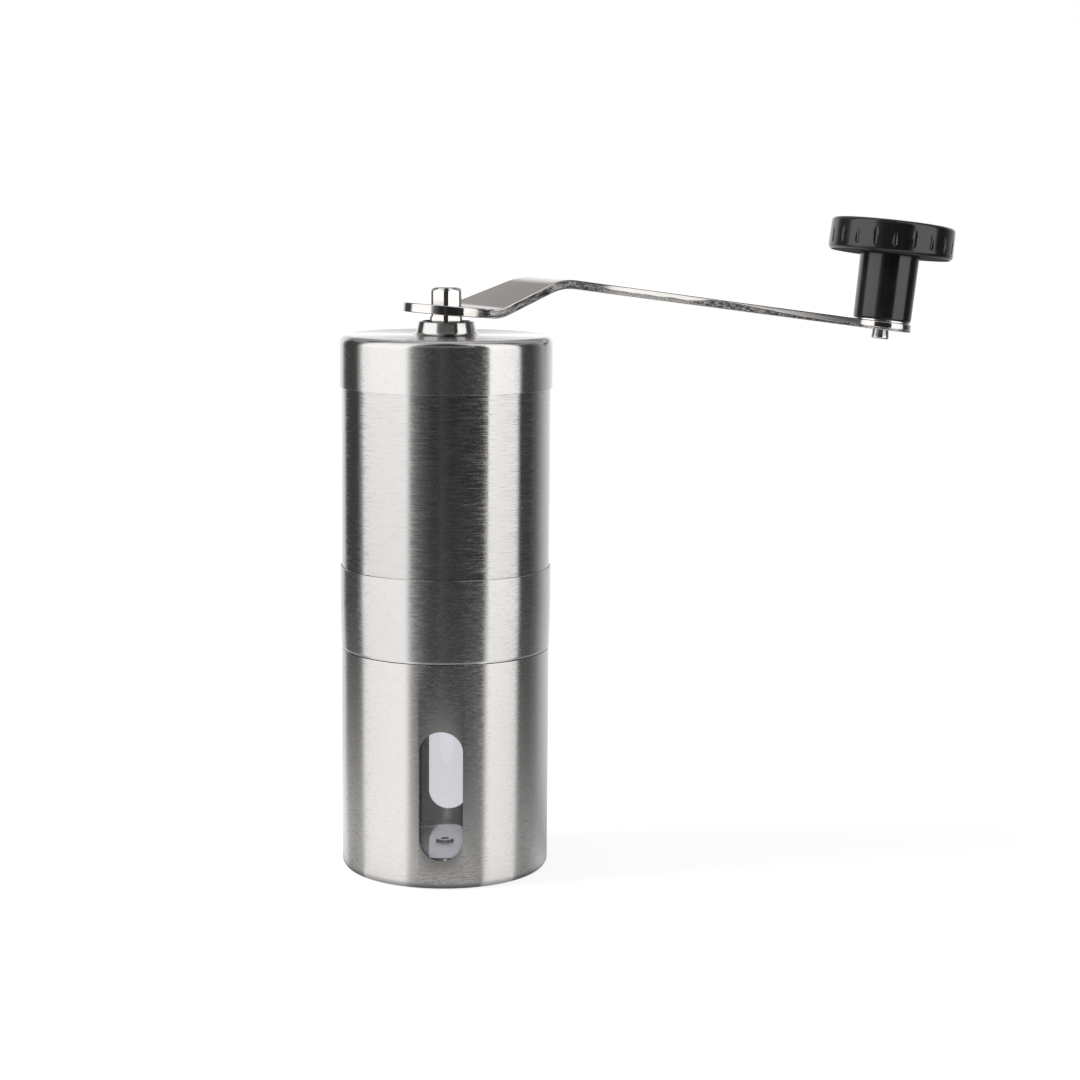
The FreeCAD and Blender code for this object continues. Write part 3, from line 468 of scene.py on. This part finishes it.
# Body tube: plain drawn tube that holds the beans. It is more coarsely brushed than the pieces
# above and below it.
tube_steel = steel("tube_steel", (0.56, 0.555, 0.55), 0.15, 0.35, 0.004, 0.0002, 0.0000016, 0.026)
tube = spun("tube", [(22.9, 62.5), (23.5, 62.5), (23.5, 120.25, 0.15), (22.9, 120.25, 0.15)])
finished(tube, "mill", "brushed_steel", tube_steel, "hopper_tube")

# Sleeve round the middle: thin steel pressed over the tube, straight above and drawn in towards
# the cup below.
band_steel = steel("band_steel", (0.6, 0.595, 0.59), 0.18, 0.36, 0.002, 0.0002, 0.000001, 0.008)
band = spun("band", [(23.46, 51.0, 0.03), (23.61, 51.48, 0.1), (23.85, 61.6, 60), (23.85, 69.6, 0.12),
                     (23.52, 69.6, 0.12), (23.52, 61.6, 60), (23.25, 51.0, 0.02)])
finished(band, "mill", "brushed_steel", band_steel, "middle_band")
# Lid: pressed steel cap with a raised collar that the shaft comes through. The collar is
# polished, and the rest is brushed.
lid_steel = steel("lid_steel", (0.62, 0.615, 0.61), 0.2, 0.31, 0.0014, 0.00018, 0.0000007, 0.005, 0.1206)
lid = spun("lid", [(5.4, 124.75, 0.2), (6.28, 124.75, 0.3), (7.0, 121.7, 1.0), (23.95, 121.7, 1.7),
                   (23.95, 110.1, 0.05), (23.55, 110.1, 0.05), (23.55, 121.25, 1.3), (6.02, 121.25, 0.5)])
finished(lid, "lid", "brushed_steel", lid_steel, "lid_shell")


# Moulded plastic: burr housing, bridge, burr lock ring, lid disc, burr core and dial are black,
# and the shaft's guide in the lid is a pale bearing plastic.
def moulded(name, shade, rough, grain):
    """Moulded plastic with a faint spark-eroded grain."""
    material, tree = new_material(name)
    place = tree.object_place()
    speck, cloud = tree.noise(place, 4000.0, 2.0), tree.noise(place, 120.0, 3.0)
    colour = tree.ramp(cloud, [(0.35, shade), (0.65, tuple(c * 1.25 for c in shade))])
    bump = tree.add("ShaderNodeBump", {"Height": speck, "Distance": grain})
    skin = tree.add("ShaderNodeBsdfPrincipled", {
        "Base Color": colour, "Roughness": tree.scaled(cloud, 0.3, 0.7, rough * 0.8, rough * 1.2),
        "Normal": bump.outputs[0]})
    tree.add("ShaderNodeOutputMaterial", {"Surface": skin.outputs[0]})
    return material


def dressed(name, material):
    """Gives a carried-over piece its material."""
    slots = nodes[name].data.materials
    slots.clear()
    slots.append(material)


black = moulded("black_plastic", (0.018, 0.018, 0.019), 0.42, 0.00002)
for name in ("burr_housing", "shaft_bridge", "burr_retainer", "lid_liner", "burr_core", "adjust_dial"):
    dressed(name, black)
dressed("lid_bushing", moulded("bearing_plastic", (0.72, 0.71, 0.68), 0.35, 0.00001))

# Drive shaft: turned from round steel bar. Its top is milled to a hexagon for the crank, with the
# bar's own surface left at the corners, and below are a groove, two flats and a rolled thread.
def soft_min(a, b, blend):
    """The smaller of two numbers, rounded over where they are closer than the blend."""
    near = max(blend - abs(a - b), 0.0) / blend
    return min(a, b) - near * near * blend / 4


def grid_about_z(name, rows, radius_at, columns=360):
    """Closed body around Z: rows are (height, key) in mm and radius_at(angle, height, key) gives mm."""
    made = bmesh.new()
    rings = []
    for height, key in rows:
        ring = []
        for k in range(columns):
            angle = 2 * math.pi * k / columns
            r = radius_at(angle, height, key)
            ring.append(made.verts.new((r * math.cos(angle) * mm, r * math.sin(angle) * mm, height * mm)))
        rings.append(ring)
    for a, b in zip(rings, rings[1:]):
        for k in range(columns):
            n = (k + 1) % columns
            made.faces.new((a[k], a[n], b[n], b[k]))
    for ring, height in ((rings[0], rows[0][0]), (rings[-1], rows[-1][0])):
        tip = made.verts.new((0, 0, height * mm))
        for k in range(columns):
            made.faces.new((ring[k], ring[(k + 1) % columns], tip))
    return new_piece(name, made, 40)


shaft_foot, shaft_top = 37.9, 132.3
shoulder = shaft_top - 6.5
thread_top, pitch = 48.4, 0.8
clip_low, clip_high = 85.8, 86.6


def shaft_radius(angle, height, key):
    from_flat = (angle + math.pi / 6) % (math.pi / 3) - math.pi / 6
    if key in ("head", "chamfer", "crown"):
        sides = soft_min(6.7 / 2 / math.cos(from_flat), 3.62, 0.03)
        if key == "head":
            return sides
        cone = 3.87 - 0.8 * (height - shaft_top + 1.15)
        if key == "crown":
            cone -= 0.1 + 2.2 * (height - shaft_top + 0.16)
        return soft_min(sides, cone, 0.06)
    if key == "shoulder":
        return soft_min(7.2 / 2 / math.cos(from_flat), 3.907, 0.04)
    if key == "flats":
        return soft_min(3.0, 2.5 / max(abs(math.sin(angle)), 0.1), 0.04)
    if key == "thread":
        turn = (height / pitch - angle / (2 * math.pi)) % 1.0
        ridge = min(abs(turn - 0.5) * 2.4, 1.0)
        ends = min((height - shaft_foot) / 0.6, (thread_top - height) / 0.8, 1.0)
        return 2.45 - 0.42 * (1 - ridge) * max(ends, 0.0) - 0.35 * max(1 - (height - shaft_foot) / 0.5, 0.0)
    return key


def heights(low, high, count, key):
    return [(low + (high - low) * k / count, key) for k in range(count + 1)]


shaft_rows = (heights(shaft_foot, thread_top, 130, "thread") + heights(thread_top, 68.9, 4, "flats")
              + heights(68.9, clip_low, 2, 3.0) + heights(clip_low, clip_high, 1, 2.4)
              + heights(clip_high, 88.0, 1, 3.0) + heights(88.6, shoulder - 13, 4, 3.6)
              + heights(shoulder - 13, shoulder, 6, "shoulder") + heights(shoulder, shaft_top - 1.3, 6, "head")
              + heights(shaft_top - 1.28, shaft_top - 0.17, 22, "chamfer")
              + heights(shaft_top - 0.15, shaft_top, 4, "crown"))
shaft = grid_about_z("shaft", shaft_rows, shaft_radius)


def polished(name, shade, rough, scratch, spread=0.3):
    """Bright turned or tumbled metal: small uneven patches of gloss and fine scratches."""
    material, tree = new_material(name)
    place = tree.object_place()
    cloud, grit = tree.noise(place, 700.0, 4.0, 0.6), tree.noise(place, 2600.0, 3.0)
    colour = tree.ramp(cloud, [(0.3, tuple(c * 0.9 for c in shade)), (0.6, shade)])
    gloss = tree.scaled(cloud, 0.3, 0.7, rough * (1 - spread), rough * (1 + spread))
    bump = tree.add("ShaderNodeBump", {"Height": grit, "Distance": scratch})
    metal = tree.add("ShaderNodeBsdfPrincipled", {"Base Color": colour, "Metallic": 1.0, "Roughness": gloss,
                                                  "Normal": bump.outputs[0]})
    tree.add("ShaderNodeOutputMaterial", {"Surface": metal.outputs[0]})
    return material


shaft_steel = polished("shaft_steel", (0.68, 0.67, 0.66), 0.12, 0.000003)
finished(shaft, "spindle", "brushed_steel", shaft_steel, "drive_shaft")
for name in ("shaft_washers", "shaft_clip"):
    dressed(name, polished(name + "_steel", (0.5, 0.5, 0.5), 0.3, 0.000006))
dressed("shaft_bushing", polished("sintered_bronze", (0.56, 0.34, 0.15), 0.42, 0.00002))
dressed("dial_insert", polished("turned_brass", (0.72, 0.5, 0.2), 0.25, 0.000005))

# Burr spring: round spring wire, coiled. Its top turn is held by the spindle and its foot presses
# on the inner burr.
def grown(piece, name, inputs, build):
    """Geometry Nodes on a piece, turned into mesh. Build gets the tree and its named inputs and gives the
    shape, which then gets the input Material."""
    group = bpy.data.node_groups.new(name, "GeometryNodeTree")
    made = group.interface.new_socket
    made("Piece", in_out="INPUT", socket_type="NodeSocketGeometry")
    values = {}
    for label, (kind, value) in inputs.items():
        values[made(label, in_out="INPUT", socket_type="NodeSocket" + kind).identifier] = value
    made("Whole", in_out="OUTPUT", socket_type="NodeSocketGeometry")
    tree = Tree(group)
    given = tree.add("NodeGroupInput").outputs
    coloured = tree.add("GeometryNodeSetMaterial", {"Geometry": build(tree, given), "Material": given["Material"]})
    tree.add("NodeGroupOutput", {0: coloured.outputs[0]})
    modifier = piece.modifiers.new(name, "NODES")
    modifier.node_group = group
    for identifier, value in values.items():
        modifier[identifier] = value
    return settled(piece)


def coiled(tree, given):
    """A round wire wound around Z."""
    path = tree.add("GeometryNodeCurveSpiral", {
        "Resolution": 48, "Rotations": given["Turns"], "Start Radius": given["Radius"],
        "End Radius": given["Radius"], "Height": given["Height"]})
    section = tree.add("GeometryNodeCurvePrimitiveCircle", {
        "Resolution": 16, "Radius": tree.math("DIVIDE", given["Wire"], 2.0)})
    wound = tree.add("GeometryNodeCurveToMesh", {
        "Curve": path.outputs[0], "Profile Curve": section.outputs[0], "Fill Caps": True})
    return tree.add("GeometryNodeRealizeInstances", {0: wound.outputs[0]}).outputs[0]


spring_wire = 0.9 * mm
spring_low, spring_high = (Vector(corner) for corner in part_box("burr_spring"))
spring = grown(linked("spring", bpy.data.meshes.new("spring")), "spring", {
    "Turns": ("Float", 4.5), "Radius": ("Float", (spring_high.x - spring_low.x - spring_wire) / 2),
    "Height": ("Float", spring_high.z - spring_low.z - spring_wire), "Wire": ("Float", spring_wire),
    "Material": ("Material", polished("spring_steel", (0.5, 0.5, 0.5), 0.3, 0.000006))}, coiled)
spring.data.transform(Matrix.Translation((0, 0, spring_low.z + spring_wire / 2)))
smoothed(spring.data, 50)
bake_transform(spring)
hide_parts("burr_spring")

# Burrs: a ring and a cone of fired ceramic, left white and matt. Their teeth are in the carried
# over meshes.
ceramic = moulded("ceramic", (0.62, 0.6, 0.55), 0.5, 0.00003)
for name in ("outer_burr", "inner_burr"):
    dressed(name, ceramic)

# Crank: stamped from steel strip, with a loose hexagon hole in its round hub and two bends. Its
# faces are polished, and its straight cut edges keep the torn grain of the shearing.
arm_thickness, arm_half, pin_half, hub_round, arm_reach = 2.1, 5.9, 3.25, 9.8, 137.7
rise, fall = math.radians(23.3), math.radians(2.4)
lower_bend, lower_radius, upper_radius, slope_length = 6.0, 7.7, 18.0, 14.2
taper_start, taper_end = 9.5, 41.5
eye_round, neck_round = 7.66, 9.0
crank_play = 0.35


def bent(run, level):
    """Side view of the bent strip: where a point lies, by its run along the middle and its level above the
    underside."""
    lower = lower_radius + arm_thickness - level
    upper = upper_radius + level
    middle_lower = lower_radius + arm_thickness / 2
    middle_upper = upper_radius + arm_thickness / 2
    if run <= lower_bend:
        return Vector((run, level))
    run -= lower_bend
    centre = Vector((lower_bend, lower_radius + arm_thickness))
    angle = min(run / middle_lower, rise)
    foot = centre + Vector((math.sin(angle), -math.cos(angle))) * lower
    run -= middle_lower * rise
    if run <= 0:
        return foot
    foot += Vector((math.cos(rise), math.sin(rise))) * min(run, slope_length)
    run -= slope_length
    if run <= 0:
        return foot
    centre = foot + Vector((math.sin(rise), -math.cos(rise))) * upper
    angle = max(rise - run / middle_upper, -fall)
    foot = centre + Vector((-math.sin(angle), math.cos(angle))) * upper
    run -= middle_upper * (rise + fall)
    if run <= 0:
        return foot
    return foot + Vector((math.cos(fall), -math.sin(fall))) * run


bend_1 = lower_bend + (lower_radius + arm_thickness / 2) * rise
bend_2 = bend_1 + slope_length
straight = bend_2 + (upper_radius + arm_thickness / 2) * (rise + fall)
pin_run = straight + (arm_reach + arm_thickness / 2 * math.sin(fall)
                      - bent(straight, arm_thickness / 2).x) / math.cos(fall)


narrowing = math.atan2(arm_half - pin_half, arm_reach - taper_end)
outward = Vector((math.sin(narrowing), math.cos(narrowing)))
onward = Vector((math.cos(narrowing), -math.sin(narrowing)))
beside = Vector((0, pin_half)) + outward * neck_round
ahead = beside.dot(onward)
setback = ahead + math.sqrt(ahead ** 2 - beside.length_squared + (eye_round + neck_round) ** 2)
neck = beside - onward * setback
neck_start = pin_run + neck.x - neck_round * outward.x
eye_start = pin_run + neck.x * eye_round / (eye_round + neck_round)


def half_width(run):
    if run > eye_start:
        return math.sqrt(max(eye_round ** 2 - (run - pin_run) ** 2, 0.0))
    if run > neck_start:
        return neck.y - math.sqrt(neck_round ** 2 - (run - pin_run - neck.x) ** 2)
    x = bent(run, arm_thickness / 2).x
    tapered = hub_round - (x - taper_start) * (hub_round - arm_half) / (taper_end - taper_start)
    slim = arm_half - (x - taper_end) * (arm_half - pin_half) / (arm_reach - taper_end)
    side = -soft_min(-soft_min(hub_round, tapered, 0.18), -slim, 0.18)
    return side if run > 0 else math.sqrt(max(hub_round ** 2 - run ** 2, 0.0))


def spread_over(low, high, count):
    return [low + (high - low) * k / count for k in range(1, count + 1)]


stations = [5.0, lower_bend] + spread_over(lower_bend, bend_1, 12) + spread_over(bend_1, bend_2, 8)
stations += spread_over(bend_2, straight, 26) + spread_over(straight, neck_start, 24)
stations += spread_over(neck_start, eye_start, 14) + spread_over(eye_start, pin_run, 8)
stations += [pin_run + eye_round * math.sin(math.radians(a)) for a in range(3, 88, 3)]
plate = bmesh.new()
near_side = [plate.verts.new((run, -half_width(run), 0)) for run in stations]
far_side = [plate.verts.new((run, half_width(run), 0)) for run in stations]
middle = plate.verts.new((stations[0], 0, 0))
for k in range(len(stations) - 1):
    plate.faces.new((near_side[k], near_side[k + 1], far_side[k + 1], far_side[k]))
tip = plate.verts.new((pin_run + eye_round, 0, 0))
plate.faces.new((near_side[-1], tip, far_side[-1]))
hexagon_reach = (6.7 + crank_play) / math.sqrt(3)
corners = []
for k in range(6):
    angle = math.radians(-90 - 37.6 + 60 * k) % (2 * math.pi)
    corners.append((angle, hexagon_reach * math.cos(angle), hexagon_reach * math.sin(angle)))
corners.sort()


def crossing(a, b):
    """Where the hexagon's side from a to b meets the strip's middle line."""
    share = a[2] / (a[2] - b[2])
    return plate.verts.new((a[1] + share * (b[1] - a[1]), 0, 0))


upper_corners = [c for c in corners if c[2] > 0]
lower_corners = [c for c in corners if c[2] < 0]
right_edge = crossing(lower_corners[-1], upper_corners[0])
left_edge = crossing(upper_corners[-1], lower_corners[0])
hub_back = plate.verts.new((-hub_round, 0, 0))
upper_arc = [plate.verts.new((hub_round * math.cos(math.radians(a)), hub_round * math.sin(math.radians(a)), 0))
             for a in [60 + 3 * k for k in range(1, 40)]]
lower_arc = [plate.verts.new((v.co.x, -v.co.y, 0)) for v in upper_arc]
upper_hole = [plate.verts.new((c[1], c[2], 0)) for c in reversed(upper_corners)]
lower_hole = [plate.verts.new((c[1], c[2], 0)) for c in lower_corners]
plate.faces.new([far_side[0]] + upper_arc + [hub_back, left_edge] + upper_hole + [right_edge, middle])
plate.faces.new([near_side[0], middle, right_edge] + list(reversed(lower_hole)) + [left_edge, hub_back]
                + list(reversed(lower_arc)))
bmesh.ops.recalc_face_normals(plate, faces=plate.faces)
if plate.faces[0].normal.z < 0:
    bmesh.ops.reverse_faces(plate, faces=plate.faces)
arm = linked("crank", mesh_of("crank", plate))
thick = arm.modifiers.new("thickness", "SOLIDIFY")
thick.thickness = arm_thickness
thick.offset = 1.0
thick.use_even_offset = False
broken = arm.modifiers.new("broken_edges", "BEVEL")
broken.width = 0.25
broken.segments = 3
broken.limit_method = "ANGLE"
broken.angle_limit = math.radians(50)
broken.use_clamp_overlap = False
arm = settled(arm)
arm_mesh = arm.data
flat_place = arm_mesh.attributes.new("flat_place", "FLOAT_VECTOR", "POINT")
sheared = arm_mesh.attributes.new("sheared", "FLOAT", "FACE")
for i, vertex in enumerate(arm_mesh.vertices):
    flat_place.data[i].vector = vertex.co * mm
for i, face in enumerate(arm_mesh.polygons):
    sheared.data[i].value = 1.0 if abs(face.normal.z) < 0.2 else 0.0
for vertex in arm_mesh.vertices:
    run, across, level = vertex.co
    x, z = bent(run, level)
    vertex.co = Vector((x, across, z)) * mm
hub_turn = (Matrix.Rotation(math.radians(37.6), 4, "Z") @ Matrix.Rotation(math.radians(4.66), 4, "Y")
            @ Matrix.Rotation(math.radians(0.74), 4, "X"))
hub_middle = Vector((0, 0, arm_thickness / 2 * mm))
hub_under = Vector((0, 0, 126.14 * mm))
crank_place = Matrix.Translation(hub_under + hub_middle - hub_turn @ hub_middle) @ hub_turn
arm_mesh.transform(crank_place)
smoothed(arm_mesh, 50)
even = arm.modifiers.new("even_normals", "WEIGHTED_NORMAL")
even.keep_sharp = True
arm = settled(arm)

arm_steel, tree = new_material("arm_steel")
flat = tree.add("ShaderNodeAttribute", attribute_name="flat_place").outputs["Vector"]
cut = tree.add("ShaderNodeAttribute", attribute_name="sheared").outputs["Fac"]
strip = tree.add("ShaderNodeSeparateXYZ", {0: flat}).outputs
along = strip["X"]
arm_share = tree.math("DIVIDE", along, 0.15)
edge = tree.math("MULTIPLY", cut, tree.scaled(along, 0.0015, 0.004))
wander = tree.noise(tree.vector("MULTIPLY", flat, (90.0, 0.0, 0.0)), 1.0, 4.0)
torn_height = tree.ramp(arm_share, [
    (0.0, 0.0014), (0.18, 0.0014), (0.25, 0.0008), (0.29, 0.0003), (0.45, 0.0002), (0.5, 0.0011), (0.57, 0.001),
    (0.63, 0.0004), (0.72, 0.0), (1.0, 0.0)])
border = tree.math("ADD", tree.math("MULTIPLY", wander, 0.0012), torn_height)
torn = tree.math("MULTIPLY", edge, tree.scaled(tree.math("SUBTRACT", border, strip["Z"]), -0.00015, 0.00015))
deep = tree.ramp(arm_share, [(0.25, 1.0), (0.3, 0.4), (0.44, 0.35), (0.48, 1.0)])
fine = tree.noise(tree.vector("MULTIPLY", flat, (120.0, 2500.0, 2500.0)), 1.0, 3.0)
crumbs = tree.noise(tree.vector("MULTIPLY", flat, (800.0, 2100.0, 2100.0)), 1.0, 4.0, 0.75)
streaks = tree.noise(tree.vector("MULTIPLY", flat, (60.0, 1400.0, 1400.0)), 1.0, 3.0, 0.6)
tearing = tree.math("MULTIPLY", tree.math("MULTIPLY", crumbs, torn), 0.0002)
rolling = tree.math("MULTIPLY", tree.math("MULTIPLY", streaks, edge), 0.000012)
grain = tree.math("ADD", tree.math("MULTIPLY", fine, 0.000001), tree.math("ADD", tearing, rolling))
bump = tree.add("ShaderNodeBump", {"Height": grain, "Distance": 1.0})
rough = tree.math("ADD", tree.scaled(fine, 0.3, 0.7, 0.07, 0.11), tree.math("MULTIPLY", torn, 0.15))
lengthwise = tree.ramp(arm_share, [(0.17, 0.75), (0.22, 0.0)])
worn = tree.ramp(tree.mix(lengthwise, crumbs, streaks), [(0.42, 0.05), (0.6, (0.5, 0.49, 0.48))])
colour = tree.mix(tree.math("MULTIPLY", torn, deep), (0.62, 0.605, 0.59, 1), worn)
metal = tree.add("ShaderNodeBsdfPrincipled", {"Base Color": colour, "Metallic": 1.0, "Roughness": rough,
                                              "Normal": bump.outputs[0]})
tree.add("ShaderNodeOutputMaterial", {"Surface": metal.outputs[0]})
finished(arm, "crank", "brushed_steel", arm_steel, "crank_arm")

# Knob's washer and pin: a plain washer, and a shouldered rivet whose lower end was peened over
# under the crank. Both are bright.
pin_foot = bent(pin_run, arm_thickness)
knob_place = (crank_place @ Matrix.Translation(Vector((pin_foot.x, 0, pin_foot.y)) * mm)
              @ Matrix.Rotation(fall, 4, "Y"))
washer_thickness = 0.5
washer = spun("knob_ring", [(2.5, 0), (7.3, 0, 0.12), (7.3, washer_thickness, 0.12), (2.5, washer_thickness)], 144)
washer.data.transform(knob_place)
rivet_steel = polished("rivet_steel", (0.72, 0.71, 0.7), 0.14, 0.000006)
finished(washer, "crank", "brushed_steel", rivet_steel, "knob_washer")
stem_height, head_height = 16.78, 8.23
head_low = washer_thickness + stem_height
head_top = head_low + head_height
pin = spun("rivet", [(0, -4.05), (0.9, -4.1, 0.3), (1.6, -4.4, 0.3), (2.42, -4.4, 0.5), (2.3, -3.5, 0.6),
                     (2.1, -2.12), (1.8, -2.1), (1.8, 0), (2.5, 0), (2.5, head_low + 2), (4.4, head_low + 2),
                     (4.4, head_low + 3.5, 0.5), (0, head_low + 3.5)], 96)
pin.data.transform(knob_place)
finished(pin, "crank", "brushed_steel", rivet_steel, "knob_pin")

# Knob: one moulding of hard black plastic, stem and head. Twenty shallow notches run out towards
# the top of the head, so one slice of it is made and repeated around the pin.
stem_low, cap_seat, pocket_floor = washer_thickness + 0.1, head_top - 1.6, head_low + 1.9
knob_outline = [
    (2.56, stem_low), (7.46, stem_low, 0.4), (7.63, head_low + 0.9, 0.8), (14.8, head_low), (16.0, head_low, 1.1),
    (15.87, head_top, 1.0), (9.0, head_top, 0.15), (9.0, cap_seat), (6.0, cap_seat), (6.0, pocket_floor),
    (2.56, pocket_floor)]
notch_count, notch_radius, notch_depth, notch_stop, notch_foot = 20, 0.8, 0.5, 0.7, 1.9
half_slice = math.pi / notch_count
outline = rounded(knob_outline, math.radians(9))
dense = []
for a, b in zip(outline, outline[1:] + outline[:1]):
    tall = abs(a.y - b.y) > 4 * mm and a.x > 15.2 * mm and b.x > 15.2 * mm
    pieces = 24 if tall else 1
    dense += [a.lerp(b, k / pieces) for k in range(pieces)]
slice_mesh = bmesh.new()
rings = []
for point in dense:
    r, z = point / mm
    share = (z - head_low) / (head_top - notch_stop - head_low)
    closing = min(max((head_low + notch_foot - z) / 0.5, 0.0), 1.0)
    axis = 16.0 + notch_radius - notch_depth + share * notch_depth + (notch_depth + 0.05) * closing
    reach_in = max(axis - r, 0.0)
    half_notch = math.sqrt(max(notch_radius ** 2 - reach_in ** 2, 0.0)) if r > 12 else 0.0
    half_notch = max(half_notch / max(r, 1.0), 0.0008)
    angles = [-half_slice + (half_slice - half_notch) * k / 8 for k in range(8)]
    angles += [-half_notch + 2 * half_notch * k / 8 for k in range(9)]
    angles += [half_notch + (half_slice - half_notch) * k / 8 for k in range(1, 9)]
    ring = []
    for angle in angles:
        away = axis * math.sin(angle)
        dent = r
        if r > 12 and abs(away) < notch_radius:
            dent = min(r, axis * math.cos(angle) - math.sqrt(notch_radius ** 2 - away ** 2))
        ring.append(slice_mesh.verts.new((dent * math.cos(angle) * mm, dent * math.sin(angle) * mm, z * mm)))
    rings.append(ring)
for a, b in zip(rings, rings[1:] + rings[:1]):
    for k in range(len(a) - 1):
        slice_mesh.faces.new((a[k], a[k + 1], b[k + 1], b[k]))
bmesh.ops.recalc_face_normals(slice_mesh, faces=slice_mesh.faces)
wedge = linked("knob", mesh_of("slice", slice_mesh))


def repeated(tree, given):
    """The piece repeated around Z and joined at the seams."""
    points = tree.add("GeometryNodePoints", {"Count": given["Count"]})
    step = tree.math("DIVIDE", 2 * math.pi, given["Count"])
    number = tree.add("GeometryNodeInputIndex").outputs[0]
    turn = tree.add("ShaderNodeCombineXYZ", {
        2: tree.math("ADD", tree.math("MULTIPLY", number, step), given["First Angle"])})
    copies = tree.add("GeometryNodeInstanceOnPoints", {
        "Points": points.outputs[0], "Instance": given["Piece"], "Rotation": turn.outputs[0]})
    whole = tree.add("GeometryNodeRealizeInstances", {0: copies.outputs[0]})
    return tree.add("GeometryNodeMergeByDistance", {"Geometry": whole.outputs[0], "Distance": given["Seam"]}).outputs[0]


gloss_black, tree = new_material("gloss_black")
place = tree.object_place()
haze, specks = tree.noise(place, 420.0, 4.0, 0.65), tree.noise(place, 2400.0, 2.0)
colour = tree.ramp(haze, [(0.35, (0.006, 0.006, 0.0065)), (0.65, (0.008, 0.008, 0.0085))])
under = tree.add("ShaderNodeAttribute", attribute_name="underside").outputs["Fac"]
matt = tree.math("ADD", tree.scaled(haze, 0.35, 0.65, 0.12, 0.18), tree.math("MULTIPLY", under, 0.85))
bump = tree.add("ShaderNodeBump", {"Height": specks, "Distance": 0.000004})
plastic = tree.add("ShaderNodeBsdfPrincipled", {"Base Color": colour, "Roughness": matt, "IOR": 1.6,
                                                "Normal": bump.outputs[0]})
tree.add("ShaderNodeOutputMaterial", {"Surface": plastic.outputs[0]})
knob = grown(wedge, "around_pin", {
    "Count": ("Int", notch_count), "First Angle": ("Float", math.radians(-90 - 5 - 37.6)),
    "Seam": ("Float", 0.00002), "Material": ("Material", gloss_black)}, repeated)
underside = knob.data.attributes.new("underside", "FLOAT", "FACE")
for i, face in enumerate(knob.data.polygons):
    out, up = math.hypot(face.center.x, face.center.y) / mm, face.center.z / mm
    joined = out < 9 and head_low - 0.9 < up < head_low + 1
    underside.data[i].value = 1.0 if joined or face.normal.z < -0.9 else 0.0
knob.data.transform(knob_place)
smoothed(knob.data, 32)
finished(knob, "knob", "gloss_black", gloss_black, "knob_grip")
dressed("knob_cap", gloss_black)
